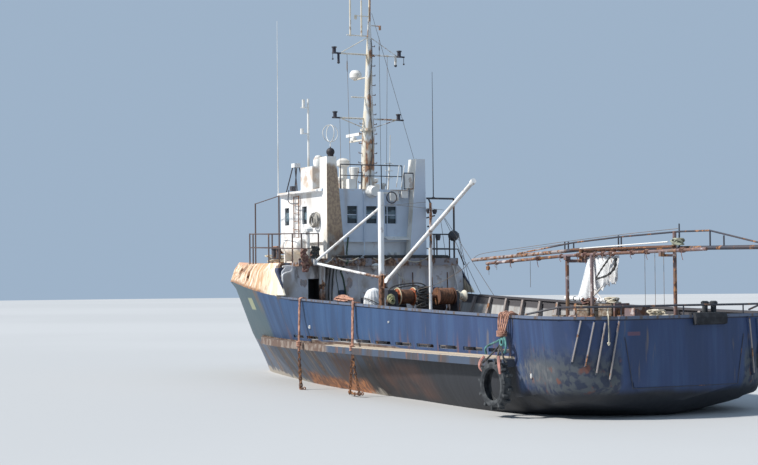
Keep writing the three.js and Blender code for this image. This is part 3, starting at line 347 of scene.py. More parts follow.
class Paint:
    """One material: its position values, noises, colour mixes and last surface."""

    def __init__(self, name):
        self.material = bpy.data.materials.new(name)
        self.material.use_nodes = True
        tree = self.material.node_tree
        self.surface = tree.nodes["Principled BSDF"]
        place = tree.nodes.new("ShaderNodeTexCoord")
        self.place = Value(tree, place.outputs["Object"])
        split = tree.nodes.new("ShaderNodeSeparateXYZ")
        tree.links.new(self.place.socket, split.inputs[0])
        self.x, self.y, self.z = (Value(tree, split.outputs[i]) for i in range(3))
        self.pattern = self.place

    def noise(self, across, along=None, detail=4.0, shift=0.0):
        """Clouds about 1 / across wide and 1 / along high, between 0 and 1."""
        along = across if along is None else along
        scaled = self.place.node("ShaderNodeVectorMath", {"operation": "MULTIPLY"},
                                 _0=self.pattern, _1=(across, across, along))
        moved = scaled.node("ShaderNodeVectorMath", {"operation": "ADD"}, _0=scaled,
                            _1=(shift, shift * 0.7, shift * 0.3))
        return moved.node("ShaderNodeTexNoise", None, Vector=moved, Scale=1.0, Detail=detail)

    def spot(self, x, z, wide, high, rough=0.5):
        """A patch with a ragged edge on the side of the ship: 1 inside an oval about (x, z)."""
        a, b = (self.x - x) * (1 / wide), (self.z - z) * (1 / high)
        return (a * a + b * b + (self.noise(5, 5, 5, 3) - 0.5) * 2 * rough).ramp(1.1, 0.8)

    def mix(self, under, over, mask):
        """over laid on under where mask is 1."""
        return self.place.node("ShaderNodeMix", {"data_type": "RGBA"}, output=2,
                               _0=mask, _6=colour(under), _7=colour(over))

    def finish(self, base, roughness=0.6, metallic=0.0, height=None, depth=0.002):
        """Sets the surface. height is a value whose slopes show as bumps depth metres deep."""
        if height is not None:
            bump = self.place.node("ShaderNodeBump", None, Height=height, Distance=depth, Strength=1.0)
            self.connect("Normal", bump)
        self.connect("Base Color", colour(base))
        self.connect("Roughness", roughness)
        self.connect("Metallic", metallic)
        return self.material

    def connect(self, name, value):
        """Links a value to a socket of the surface, or sets the socket to a number or a colour."""
        socket = self.surface.inputs[name]
        if isinstance(value, Value):
            value.tree.links.new(value.socket, socket)
        else:
            socket.default_value = value


def colour(value):
    """Three numbers as a colour with full alpha; a link stays as it is."""
    return (*value, 1.0) if isinstance(value, tuple) and len(value) == 3 else value


# %% [markdown]
# ## The paint of the hull
#
# The side is old blue paint over steel. Rain and spray wash rust and salt straight down, so the
# marks are long upright streaks: noise that is fine across the plates and stretched in height.
# Everything else follows heights and stations: a greener tone near the bow, pale wear and
# orange rust at the water, brown rust on the rubbing strake, and red paint with weed below.

# %% Colours of the ship
NAVY, STEEL_BLUE, SEA_GREEN = (0.026, 0.052, 0.135), (0.025, 0.068, 0.162), (0.056, 0.097, 0.112)
OCHRE, RUST, DEEP_RUST = (0.26, 0.19, 0.09), (0.20, 0.085, 0.040), (0.065, 0.030, 0.018)
PALE_WEAR, CREAM, DARK_DIRT = (0.40, 0.35, 0.29), (0.82, 0.76, 0.62), (0.07, 0.05, 0.045)
SHADE_BLACK, BROWN_GREY, GREY_GREEN = (0.018, 0.021, 0.028), (0.088, 0.080, 0.082), (0.075, 0.085, 0.088)
BOTTOM_RED, WEED, STRAKE_BEIGE = (0.10, 0.028, 0.02), (0.025, 0.035, 0.014), (0.23, 0.185, 0.155)
print("blue of the side:", STEEL_BLUE)

# %% [markdown]
# The cap rail and the inner wall of the bulwark follow the ship's curves. Paint changes at
# both, so their places are kept as short tables that a mask can read.

# %% Lines of the bulwark
SHEER = [
    # place along the ship and height of the cap rail
    (-15.0, 2.65), (-9.0, 2.746), (-3.0, 2.92), (2.5, 3.12),
    (5.0, 3.30), (7.5, 3.465), (9.7, 3.56), (15.4, 3.6),
]
DECK_INSIDE = [
    # place along the ship and distance of the inner wall from the middle, at the deck
    (-15.0, 1.80), (-14.86, 2.27), (-14.68, 2.60), (-14.52, 2.92), (-14.18, 3.24),
    (-13.81, 3.50), (-13.28, 3.66), (-12.54, 3.69), (-9.0, 3.79), (-3.0, 3.765),
    (0.0, 3.60), (1.4, 3.42), (2.4, 3.30),
]
CAP_INSIDE = [
    # the same at the cap rail
    (-15.0, 2.06), (-14.89, 2.42), (-14.74, 2.80), (-14.533, 3.14), (-14.24, 3.41),
    (-13.87, 3.63), (-13.38, 3.765), (-12.54, 3.81), (0.0, 3.795), (1.5, 3.765), (2.4, 3.755),
]
print("height of the cap rail, aft and forward:", SHEER[0][1], SHEER[-1][1])

# %% [markdown]
# Rust is grainy, and the plates above and below the rubbing strake wear in different ways:
# rain washes the upper ones, and fenders and spray scour the lower ones, which also carry painted shade where
# the side turns under and aft.

# %% Rust, and the plates above and below the strake
def rust_scale(p, light=(0.36, 0.17, 0.075), dark=DEEP_RUST, size=14.0):
    """Rust is never one colour: light and dark scale in small grains."""
    return p.mix(light, dark, p.noise(size, size * 0.7, 6, 6).ramp(0.40, 0.60))


def above_strake(p, clouds, streaks, fine):
    """Blue plates: green grey at the bow, navy aft, lighter and darker in upright streaks."""
    paint = p.mix(STEEL_BLUE, NAVY, (p.x + clouds * 3).ramp(0.0, -10.0))
    paint = p.mix(paint, (0.016, 0.034, 0.085), streaks.ramp(0.52, 0.38) * 0.40)
    paint = p.mix(paint, (0.050, 0.112, 0.230), streaks.ramp(0.50, 0.66) * 0.28)
    bow = (p.x + clouds * 1.2 + fine * 0.5).ramp(5.3, 6.0)
    paint = p.mix(paint, SEA_GREEN, bow * 0.9)
    paint = p.mix(paint, (0.135, 0.165, 0.165), bow * fine.ramp(0.50, 0.64) * 0.35)
    stains = fine.ramp(0.56, 0.70) * p.noise(0.7, 0.5, 4, 11).ramp(0.50, 0.62)
    paint = p.mix(paint, OCHRE, stains * 0.35)
    edge = p.x.within(4.75, 5.2, 0.15) * p.z.ramp(2.2, 3.2) * fine.ramp(0.40, 0.55)
    paint = p.mix(paint, RUST, edge * 0.6)
    runs = p.z.ramp(2.3, 1.6) * p.noise(5.0, 0.35, 5, 31).ramp(0.56, 0.68) * p.x.ramp(-13.8, -12.5)
    paint = p.mix(paint, RUST, runs * 0.45)
    patch = p.x.within(6.15, 7.1, 0.06) * p.z.within(2.60, 2.98, 0.05)
    return p.mix(paint, (0.34, 0.36, 0.22), patch * clouds.ramp(0.2, 0.35) * 0.85)


def below_strake(p, clouds, streaks, fine):
    """Worn grey, blue and brown forward; painted shade from dark brown to nearly black where the side turns
    under and aft, and brown red painted reflection near the water.
    """
    paint = p.mix((0.085, 0.115, 0.165), BROWN_GREY, streaks.ramp(0.44, 0.58))
    pale = fine.ramp(0.50, 0.64) * clouds.ramp(0.40, 0.52) * p.x.ramp(-5.0, -1.5)
    paint = p.mix(paint, (0.30, 0.25, 0.215), pale * 0.7)
    paint = p.mix(paint, rust_scale(p), fine.ramp(0.50, 0.40) * streaks.ramp(0.50, 0.60) * 0.6)
    # Painted shade: nearly black where the side turns under, and black aft below the strake.
    under = (p.z + clouds * 0.7 + (p.x + 2.0) * 0.16).ramp(1.35, 0.75)
    paint = p.mix(paint, (0.014, 0.013, 0.015), under * (p.x + clouds * 2).ramp(1.6, -2.4) * 0.95)
    paint = p.mix(paint, SHADE_BLACK, (p.x + clouds * 2 + fine * 1.5).ramp(-2.4, -4.6) * 0.9)
    # Painted reflection: brown red light from the water on the dark underside near the waterline.
    water_reflection = p.x.within(-7.0, -1.5, 1.5) * p.z.within(0.25, 1.0, 0.3) * clouds.ramp(0.45, 0.60)
    return p.mix(paint, (0.085, 0.042, 0.032), water_reflection * 0.8)


# %% [markdown]
# Each of these zones is laid over the plates by a mask of height and place, so they can be
# changed one at a time.

# %% Quarters, strake and waterline
def quarter_wear(p, paint, clouds, fine):
    """The quarters beside the flat of the transom are worn to grey green with rusty spots, with painted shade
    in black low down.
    """
    side = p.y.math("ABSOLUTE", p.y)
    quarter = p.x.ramp(-12.7, -13.6) * side.ramp(1.95, 2.1)
    low = (p.z + clouds * 0.5).ramp(2.35, 1.6)
    grain = p.noise(7.0, 5.0, 8, 51)
    worn = p.mix(GREY_GREEN, (0.022, 0.030, 0.052), grain.ramp(0.44, 0.58))
    paint = p.mix(paint, worn, quarter * low * 0.85)
    pale = p.x.within(-13.9, -12.9, 0.3) * p.z.within(1.05, 1.40, 0.25) * grain.ramp(0.40, 0.62)
    paint = p.mix(paint, (0.17, 0.175, 0.17), pale * 0.6)
    spots = quarter * low * p.noise(3.4, 2.8, 3, 12).ramp(0.58, 0.70) * grain.ramp(0.36, 0.56)
    paint = p.mix(paint, (0.17, 0.062, 0.040), spots * 0.8)
    # Painted shade: black low on the stern where the counter turns under.
    under = (p.z + clouds * 0.35).ramp(1.0, 0.75) * p.x.ramp(-12.0, -12.8)
    paint = p.mix(paint, SHADE_BLACK, under)
    red = p.x.ramp(-14.9, -14.95) * p.y.within(1.5, 1.85, 0.05) * p.z.within(2.18, 2.26, 0.02)
    return p.mix(paint, (0.22, 0.08, 0.08), red * 0.45)


def strake_band(p, paint, clouds, streaks, fine):
    """The rubbing strake: beige and brown forward, blue fascia under a pale worn edge aft."""
    band = p.z.within(1.325, 1.60, 0.006) * p.x.within(-12.57, 7.5, 0.01)
    fore = p.mix(STRAKE_BEIGE, (0.12, 0.075, 0.055), p.noise(4.0, 3.0, 7, 44).ramp(0.40, 0.54))
    fascia = p.mix((0.052, 0.075, 0.120), (0.062, 0.055, 0.060), streaks.ramp(0.45, 0.60))
    fascia = p.mix(fascia, RUST, p.noise(7.0, 0.6, 5, 41).ramp(0.60, 0.68) * 0.6)
    fascia = p.mix(fascia, (0.44, 0.38, 0.31), (p.z + fine * 0.03).ramp(1.545, 1.560))
    return p.mix(paint, p.mix(fascia, fore, (p.x + clouds).ramp(-1.4, -0.8)), band)


def waterline(p, paint, clouds, fine):
    """A pale band by the bow, orange scale amidships, dull brown aft, weed and red below."""
    low = p.z - (p.noise(1.6, 1.6, 5, 9) - 0.5) * 0.9
    paint = p.mix(paint, PALE_WEAR, low.ramp(0.16, 0.10) * (p.x + clouds).ramp(3.2, 4.2) * 0.85)
    hot = low.ramp(0.55, 0.30) * (p.x + clouds).within(-2.3, 3.4, 0.6)
    paint = p.mix(paint, rust_scale(p, (0.50, 0.20, 0.07), (0.13, 0.055, 0.032), 10.0), hot * 0.92)
    worn = low.ramp(0.15, 0.02) * p.x.within(-4.2, -2.9, 0.5)
    paint = p.mix(paint, PALE_WEAR, worn * fine.ramp(0.42, 0.5) * 0.8)
    bottom = p.mix(BOTTOM_RED, WEED, p.noise(1.3, 1.3, 6, 2).ramp(0.42, 0.6) * 0.6)
    bottom = p.mix(bottom, WEED, (p.z + clouds * 0.5).ramp(-0.7, 0.2))
    return p.mix(paint, bottom, p.z.ramp(0.0, -0.03))


# %% [markdown]
# The zones are laid in order, from the plates to the inside of the bulwark, and the noises
# that made the streaks also lift the surface a little.

# %% The whole hull
# Painted shade: the dark inside of the forecastle doorway.
DOORWAY_SHADE = (0.045, 0.045, 0.050)
DOORWAY_ACROSS = (2.05, 2.67, 0.005)


def doorway(p):
    """1 in the space behind the open doorway of the forecastle, seen from above, where the surfaces get
    painted shade.
    """
    return p.x.within(2.37, 3.10, 0.005) * p.y.within(*DOORWAY_ACROSS)


def hull_paint():
    """All zones of the hull, then seams, the cap rail with a painted shadow under it, the grey inside of the
    bulwark, and painted shade behind the doorway.
    """
    p = Paint("hull_paint")
    side = p.y.math("ABSOLUTE", p.y)
    flat_stern = p.x.ramp(-12.4, -14.9)
    p.pattern = p.place.node("ShaderNodeCombineXYZ", None, X=p.x, Y=p.y * flat_stern, Z=p.z)
    clouds, streaks, fine = p.noise(0.5, 0.5, 5, 3), p.noise(2.4, 0.30, 6), p.noise(7.0, 0.8, 6, 7)
    upper = above_strake(p, clouds, streaks, fine)
    stern = p.x.ramp(-12.5, -12.8)
    paint = p.mix(upper, below_strake(p, clouds, streaks, fine), p.z.ramp(1.36, 1.34) * (1 - stern))
    paint = quarter_wear(p, paint, clouds, fine)
    paint = strake_band(p, paint, clouds, streaks, fine)
    paint = waterline(p, paint, clouds, fine)
    seam = p.x.math("PINGPONG", p.x, 1.15).ramp(0.010, 0.004)
    paint = p.mix(paint, (0.03, 0.035, 0.055), seam * 0.5)
    height = p.z - p.x.curve(SHEER)
    rail = height.ramp(-0.060, -0.055) * p.x.ramp(2.45, 2.40)
    paint = p.mix(paint, p.mix((0.105, 0.135, 0.205), (0.10, 0.08, 0.075), fine.ramp(0.5, 0.62)), rail)
    # Painted shadow: a dark line under the overhanging cap rail.
    cap_shadow = height.within(-0.085, -0.062, 0.004) * p.x.ramp(2.45, 2.40)
    paint = p.mix(paint, (0.018, 0.022, 0.045), cap_shadow)
    share = (p.z - 1.65) * 0.85
    edge = p.x.curve(DECK_INSIDE) * (1 - share) + p.x.curve(CAP_INSIDE) * share
    wider_aft = p.x.ramp(-8.5, -9.5) * 0.012
    inside = (side - edge - wider_aft).ramp(0.0, -0.015) * p.z.within(1.60, 3.2, 0.02)
    inside = inside * p.x.within(-14.94, 2.4, 0.01)
    grey = p.mix((0.44, 0.45, 0.46), (0.20, 0.18, 0.16), streaks.ramp(0.42, 0.6) * 0.5)
    grey = p.mix(grey, rust_scale(p), fine.ramp(0.60, 0.66) * 0.6)
    grey = p.mix(grey, (0.075, 0.072, 0.080), (height + clouds * 0.06).ramp(-0.32, -0.26))
    deck = p.mix((0.10, 0.062, 0.048), (0.20, 0.16, 0.13), p.noise(2.2, 2.2, 6, 4).ramp(0.4, 0.62))
    paint = p.mix(paint, p.mix(grey, deck, p.z.ramp(1.68, 1.66)), inside)
    # Painted shade behind the doorway.
    paint = p.mix(paint, DOORWAY_SHADE, doorway(p) * p.z.within(1.70, 3.75, 0.005))
    relief = clouds * 0.7 + streaks * 0.12 + fine * 0.10 - seam * 0.05
    return p.finish(paint, 0.50 + fine * 0.25, 0.0, relief, 0.05)


hull_blue = hull_paint()
print("hull paint nodes:", len(hull_blue.node_tree.nodes))

# %% [markdown]
# ## Paint of the upper works
#
# White paint on a working ship yellows, chips at edges and runs brown under every fitting. One
# function makes it for many pieces, with its colour, how rusty it is and how far the rust runs
# as arguments. The whaleback, the towers and the mast have marks of their own places, so each
# adds them to the same start.

# %% Worn paint for plates and small gear
def worn_paint(name, base, dirt=OCHRE, rust=0.4, run=0.35, roughness=0.6, extra=None):
    """Base colour with cloudy dirt, upright rust streaks and ragged patches of grained rust."""
    p = Paint(name)
    clouds, streaks = p.noise(0.8, 0.8, 5, 4), p.noise(5.0, run, 6, 8)
    patches = p.noise(2.6, 2.0, 8, 1)
    paint = p.mix(base, dirt, clouds.ramp(0.48, 0.72) * 0.45)
    paint = p.mix(paint, RUST, streaks.ramp(0.66 - 0.16 * rust, 0.80 - 0.16 * rust) * rust)
    bare = patches.ramp(0.66 - 0.14 * rust, 0.69 - 0.14 * rust)
    paint = p.mix(paint, rust_scale(p), bare * min(1.0, rust * 1.6))
    if extra:
        paint = extra(p, paint)
    return p.finish(paint, roughness, 0.0, clouds * 0.5 + patches * 0.3 - bare * 0.08, 0.012)


# %% [markdown]
# Marks that belong to one place, such as the runs below the deck edge, are a function of
# their own. It takes the worn paint so far and returns it with the marks laid on.

# %% Marks of the whaleback and the towers
WHALEBACK_RUST = [
    # place along the ship, height, half width and half height of each rusty patch
    (9.40, 4.02, 0.42, 0.34),
    (6.75, 3.88, 0.24, 0.36),
    (8.60, 4.10, 0.50, 0.15),
]


def whaleback_marks(p, paint):
    """Orange runs from the deck edge, rust round the mooring holes and along the sheer, and the
    dark wing and deck edge aft."""
    height = p.z - p.x.curve(SHEER)
    runs, broad = p.noise(4.5, 0.30, 6, 14), p.noise(0.9, 0.6, 5, 21)
    narrow = p.noise(13.0, 0.45, 6, 25)
    orange = runs.ramp(0.40, 0.54) * broad.ramp(0.28, 0.50) * p.x.ramp(1.8, 4.5)
    paint = p.mix(paint, (0.56, 0.32, 0.15), orange * 0.9)
    thin = narrow.ramp(0.46, 0.58) * p.x.ramp(2.4, 6.5)
    paint = p.mix(paint, (0.32, 0.155, 0.075), thin * 0.85)
    below = narrow.ramp(0.60, 0.66) * p.z.ramp(4.35, 3.9)
    paint = p.mix(paint, (0.30, 0.15, 0.08), below * 0.6)
    for x, z, wide, high in WHALEBACK_RUST:
        paint = p.mix(paint, rust_scale(p), p.spot(x, z, wide, high, 1.0) * 0.8)
    sheer_rust = (height + runs * 0.20).ramp(0.23, 0.12) * p.x.ramp(3.0, 4.4)
    paint = p.mix(paint, rust_scale(p), sheer_rust * 0.9)
    deck = p.z.ramp(4.26, 4.34) * p.noise(3, 3, 5, 2).ramp(0.36, 0.50)
    paint = p.mix(paint, (0.55, 0.29, 0.19), deck * 0.8)
    wing = (p.x - (p.z - 3.13) * 1.25).ramp(1.70, 1.66) * p.z.ramp(4.12, 4.08)
    paint = p.mix(paint, (0.035, 0.045, 0.085), wing)
    # Painted shade behind the doorway.
    paint = p.mix(paint, DOORWAY_SHADE, doorway(p) * p.z.ramp(3.76, 3.75))
    brown = rust_scale(p, (0.26, 0.15, 0.09))
    clumps = p.mix((0.24, 0.24, 0.27), brown, p.noise(4, 4, 6, 33).ramp(0.42, 0.55))
    return p.mix(paint, clumps, p.x.ramp(2.95, 2.85) * p.z.ramp(4.08, 4.12))


def tower_marks(p, paint):
    """Brown scale over the aft face of the port tower below its head, a yellow port edge, and painted shade
    in blue grey on the aft face of the starboard tower.
    """
    port = p.y.ramp(0.9, 1.1)
    edge = p.z + (p.noise(2.2, 0.8, 6, 5) - 0.5) * 1.1
    scale = rust_scale(p, (0.40, 0.28, 0.17), (0.24, 0.155, 0.10), 15.0)
    bare = p.x.ramp(2.16, 2.13) * edge.ramp(7.75, 7.55) * p.noise(1.8, 0.5, 6, 9).ramp(0.30, 0.38)
    paint = p.mix(paint, scale, port * bare * 0.92)
    low = p.mix((0.27, 0.27, 0.26), (0.16, 0.10, 0.07), p.noise(2.4, 1.6, 7, 18).ramp(0.44, 0.56))
    paint = p.mix(paint, low, port * edge.ramp(5.6, 5.0) * p.x.ramp(2.16, 2.13) * 0.8)
    yellow = p.z.within(4.4, 5.4, 0.3) * p.y.ramp(2.45, 2.60)
    paint = p.mix(paint, (0.66, 0.47, 0.20), yellow * 0.75)
    # Painted shade: the aft face of the starboard tower is blue grey.
    grey = p.y.ramp(-0.9, -1.1) * p.x.ramp(2.14, 2.12)
    return p.mix(paint, (0.50, 0.60, 0.75), grey * 0.8)


# %% [markdown]
# The mast is cream on its sunlit strip and grey round the rest, as painted light and shade, the
# house has dirt at its foot, and the bulkhead is rubbed pale and stained dark by gear that leans on it.

# %% Marks of the mast, the house and the bulkhead
MAST_RUST = [
    # height and how much rust there is about it
    (6.8, 0.0), (7.4, 0.03), (7.7, 0.20), (8.7, 0.20), (8.9, 0.03),
    (9.4, 0.08), (9.6, 0.15), (10.3, 0.13), (10.7, 0.04), (14.0, 0.05),
]


def mast_marks(p, paint):
    """Painted light and shade: a cream strip on the side towards the sun as seen, and grey round the shaded
    rest, with real rust patches on the grey.
    """
    grain, big = p.noise(5.0, 2.0, 6, 6), p.noise(3.2, 1.4, 7, 61)
    # Painted light and shade: the strip on the sunward side as seen is cream, the rest grey as shade.
    left = p.y * 0.88 + (p.x - 2.85) * 0.47 + (p.z - 6.9) * 0.033
    away = (left + (grain - 0.5) * 0.05).ramp(0.115, 0.085)
    grey = p.mix((0.62, 0.65, 0.67), (0.46, 0.40, 0.32), grain.ramp(0.44, 0.60))
    rusty = (big + p.z.curve(MAST_RUST)).ramp(0.61, 0.66)
    grey = p.mix(grey, rust_scale(p, (0.42, 0.20, 0.085), (0.17, 0.075, 0.045), 11.0), rusty * 0.92)
    paint = p.mix(paint, (0.62, 0.52, 0.36), grain.ramp(0.42, 0.58) * 0.6)
    paint = p.mix(paint, grey, away)
    lamps = p.y.math("ABSOLUTE", p.y).ramp(1.12, 1.16) * p.z.within(9.0, 12.2, 0.05)
    return p.mix(paint, (0.025, 0.022, 0.035), lamps)


def house_marks(p, paint):
    """Painted shade in blue grey on the aft wall, paler low down, dirt at its foot, runs below the roof edge
    and the windows.
    """
    # Painted shade: the aft wall is blue grey, paler below 5.15 m.
    aft = p.x.ramp(2.60, 2.50)
    paint = p.mix(paint, (0.48, 0.58, 0.72), aft * 0.85)
    paint = p.mix(paint, (0.70, 0.80, 0.92), aft * p.z.ramp(5.15, 4.9) * 0.6)
    runs = p.noise(3.0, 0.3, 5, 17).ramp(0.54, 0.66) * p.z.ramp(5.2, 6.7)
    paint = p.mix(paint, (0.34, 0.27, 0.20), runs * 0.4)
    foot = (p.z + p.noise(1.6, 1.0, 5, 2) * 0.4).ramp(4.75, 4.5)
    paint = p.mix(paint, (0.26, 0.25, 0.26), foot * 0.6)
    roof = p.z.ramp(6.80, 6.86) * p.noise(1.6, 1.6, 6, 12).ramp(0.46, 0.60)
    return p.mix(paint, (0.46, 0.33, 0.22), roof * 0.7)


def bulkhead_marks(p, paint):
    """Brown clouds, pale rubbed patches and dark stains, and painted shade on the faces behind the doorway.
    """
    paint = p.mix(paint, (0.36, 0.30, 0.25), p.noise(1.3, 0.9, 6, 31).ramp(0.46, 0.62) * 0.7)
    paint = p.mix(paint, (0.80, 0.80, 0.80), p.noise(2.6, 1.6, 7, 36).ramp(0.56, 0.64) * 0.6)
    paint = p.mix(paint, (0.16, 0.14, 0.14), p.noise(3.0, 0.9, 7, 39).ramp(0.58, 0.66) * 0.65)
    behind = p.x.ramp(2.372, 2.376) * p.y.within(*DOORWAY_ACROSS)
    return p.mix(paint, DOORWAY_SHADE, behind)


# %% [markdown]
# Small pieces need one mark each: a bare foot, a dark dome, a pale head. A limit of height
# or side, made ragged by noise, says where it starts.

# %% Marks of posts, drums, frame and spars
def post_marks(foot, soft=0.25):
    """Bare brown steel below a height."""
    def marks(p, paint):
        edge = p.z + (p.noise(6.0, 3.0, 5, 3) - 0.5) * 0.5
        return p.mix(paint, rust_scale(p, (0.24, 0.12, 0.07)), edge.ramp(foot + soft, foot))
    return marks


def dome_marks(p, paint):
    """The aerial's foot is a black dome under white loops."""
    return p.mix(paint, (0.018, 0.015, 0.02), p.z.ramp(8.36, 8.34))


def stand_marks(p, paint):
    """White lamps on dark legs."""
    return p.mix(paint, (0.72, 0.73, 0.74), p.z.ramp(7.86, 7.87))


def drum_marks(p, paint):
    """Pale paint is left on the warping head alone."""
    head = p.y.ramp(-1.36, -1.39) * p.noise(4, 4, 5, 7).ramp(0.32, 0.42)
    return p.mix(paint, (0.62, 0.58, 0.48), head)


def frame_marks(p, paint):
    """The inner pole of the frame keeps pale paint with rust."""
    inner = p.y.within(-2.13, -1.93, 0.01) * p.x.ramp(1.9, 1.88) * p.z.ramp(6.42, 6.38)
    pale = p.mix((0.56, 0.52, 0.53), rust_scale(p), p.noise(5, 1.6, 6, 19).ramp(0.50, 0.56))
    return p.mix(paint, pale, inner)


def truss_marks(p, paint):
    """Forward, the long chord is white and rust; aft it is dark."""
    pale = p.mix((0.36, 0.32, 0.32), rust_scale(p), p.noise(7, 7, 6, 19).ramp(0.42, 0.56))
    return p.mix(paint, pale, p.x.ramp(-9.6, -9.2) * p.z.ramp(4.60, 4.55) * 0.8)


def pipe_marks(p, paint):
    """Patches of old white on rust."""
    paint = p.mix(paint, (0.20, 0.17, 0.20), p.noise(2.2, 2.2, 5, 23).ramp(0.45, 0.6) * 0.6)
    return p.mix(paint, (0.55, 0.50, 0.50), p.noise(3.5, 3.5, 7, 29).ramp(0.58, 0.63) * 0.8)


# %% [markdown]
# With the marks ready, every painted finish is one call: its colour, its dirt, how rusty it
# is and how far the rust runs.

# %% The painted finishes
house_white = worn_paint("house_white", (0.74, 0.75, 0.76), rust=0.25, extra=house_marks)
whaleback_cream = worn_paint("whaleback_cream", CREAM, rust=0.3, extra=whaleback_marks)
tower_white = worn_paint("tower_white", (0.80, 0.79, 0.75), rust=0.15, extra=tower_marks)
mast_paint = worn_paint("mast_paint", (0.66, 0.64, 0.58), rust=0.5, run=0.7, extra=mast_marks)
gear_white = worn_paint("gear_white", (0.74, 0.74, 0.72), rust=0.3, run=1.0)
finder_white = worn_paint("finder_white", (0.74, 0.74, 0.72), rust=0.2, run=1.0, extra=dome_marks)
spar_white = worn_paint("spar_white", (0.76, 0.77, 0.78), rust=0.5, run=1.4)
king_white = worn_paint("king_white", (0.80, 0.82, 0.84), rust=0.2, run=1.4, extra=post_marks(3.75))
pillar_white = worn_paint("pillar_white", (0.60, 0.60, 0.60), rust=0.7, run=0.8, extra=post_marks(3.0, 0.6))
bulkhead_grey = worn_paint("bulkhead_grey", (0.64, 0.67, 0.74), dirt=(0.40, 0.36, 0.31), rust=0.35,
                           extra=bulkhead_marks)
rusty_steel = worn_paint("rusty_steel", (0.13, 0.065, 0.042), dirt=(0.22, 0.13, 0.08), rust=0.9, run=2.0,
                         roughness=0.85)
rail_brown = worn_paint("rail_brown", (0.085, 0.060, 0.058), dirt=(0.15, 0.085, 0.06), rust=0.35, run=2.0)
pipe_rust = worn_paint("pipe_rust", (0.15, 0.08, 0.06), rust=0.9, run=2.0, roughness=0.8, extra=pipe_marks)
dark_steel = worn_paint("dark_steel", (0.045, 0.048, 0.062), dirt=DARK_DIRT, rust=0.4, run=1.2)
dark_stand = worn_paint("dark_stand", (0.035, 0.035, 0.045), dirt=DARK_DIRT, rust=0.3, extra=stand_marks)
dark_frame = worn_paint("dark_frame", (0.050, 0.054, 0.066), dirt=DARK_DIRT, rust=0.4, extra=frame_marks)
dark_truss = worn_paint("dark_truss", (0.040, 0.044, 0.062), dirt=(0.09, 0.06, 0.05), rust=0.6,
                        extra=truss_marks)
winch_orange = worn_paint("winch_orange", (0.48, 0.13, 0.055), dirt=(0.20, 0.08, 0.045), rust=0.6, run=2.0,
                          roughness=0.8)
winch_brown = worn_paint("winch_brown", (0.12, 0.055, 0.036), dirt=(0.20, 0.10, 0.06), rust=0.8, run=2.0,
                         extra=drum_marks)
windlass_rust = worn_paint("windlass_rust", (0.36, 0.19, 0.12), dirt=(0.20, 0.10, 0.07), rust=0.8, run=2.0,
                           roughness=0.85)
hatch_brown = worn_paint("hatch_brown", (0.16, 0.09, 0.06), dirt=(0.24, 0.16, 0.10), rust=0.8, run=1.5,
                         roughness=0.85)

# %% [markdown]
# ## Rubber, glass, bronze, rope and canvas
#
# Rubber and glass are told apart by gloss alone. Rope and canvas need their own weave: on cloth
# it is two sets of fine waves crossing, and on rope the strands are real bulges of the surface,
# so the paint only adds fading and dirt.

# %% Soft and shiny finishes
def plain_finish(name, base, spread, roughness, scale=6.0, metallic=0.0, depth=0.003):
    """A colour that drifts towards a second one in clouds, with bumps of the same clouds."""
    p = Paint(name)
    clouds, grain = p.noise(scale, scale, 5), p.noise(scale * 8, scale * 8, 4, 5)
    paint = p.mix(base, spread, clouds.ramp(0.4, 0.65))
    return p.finish(paint, roughness + grain * 0.1, metallic, clouds + grain * 0.5, depth)


def canvas_finish(name, base, dirt):
    """Cloth: two crossing sets of fine waves as weave, clouds of dirt and brown stains."""
    p = Paint(name)
    clouds, stains = p.noise(1.5, 1.5, 5), p.noise(4.0, 2.5, 6, 6)
    paint = p.mix(base, dirt, clouds.ramp(0.45, 0.7) * 0.6)
    paint = p.mix(paint, RUST, stains.ramp(0.64, 0.72) * 0.6)
    wave = p.place.node("ShaderNodeTexWave", {"bands_direction": "Z"}, output=1, Vector=p.place, Scale=60.0)
    other = p.place.node("ShaderNodeTexWave", {"bands_direction": "X"}, output=1, Vector=p.place, Scale=60.0)
    return p.finish(paint, 0.9, 0.0, wave * 0.2 + other * 0.2 + clouds, 0.004)


def glass_finish():
    """Dark glass; a band of it shows the pale things behind the other windows."""
    p = Paint("window_glass")
    band = p.z.within(5.86, 6.12, 0.05) * p.noise(1.7, 3.0, 3, 8).ramp(0.40, 0.55)
    return p.finish(p.mix((0.02, 0.03, 0.038), (0.13, 0.19, 0.23), band), 0.08)


print("painted finishes:", len(bpy.data.materials))

# %% [markdown]
# The rest are two colours that drift into each other. What tells them apart is how rough
# they are and how large the drift is.

# %% The finishes of rubber, rope, glass and cloth
rubber = plain_finish("rubber", (0.020, 0.024, 0.029), (0.060, 0.066, 0.072), 0.8)
black_rubber = plain_finish("black_rubber", (0.012, 0.013, 0.017), (0.030, 0.032, 0.038), 0.8)
window_glass = glass_finish()
bronze = plain_finish("bronze", (0.42, 0.26, 0.09), (0.12, 0.16, 0.09), 0.45, 4.0, 0.8)
orange_rope = plain_finish("orange_rope", (0.48, 0.26, 0.185), (0.24, 0.125, 0.095), 0.9, 9.0)
pale_rope = plain_finish("pale_rope", (0.62, 0.58, 0.48), (0.38, 0.34, 0.27), 0.9, 5.0)
green_rope = plain_finish("green_rope", (0.10, 0.26, 0.25), (0.06, 0.13, 0.12), 0.9, 5.0)
pink_rope = plain_finish("pink_rope", (0.55, 0.26, 0.22), (0.35, 0.18, 0.15), 0.9, 5.0)
wire_grey = plain_finish("wire_grey", (0.16, 0.15, 0.15), (0.25, 0.18, 0.13), 0.6, 3.0, 0.4)
dark_rope = plain_finish("dark_rope", (0.05, 0.055, 0.06), (0.10, 0.09, 0.08), 0.9, 5.0)
bracket_grey_rib_highlight = worn_paint("bracket_grey_rib_highlight", (0.30, 0.27, 0.26), dirt=(0.10, 0.10, 0.12), rust=0.6, run=2.0)
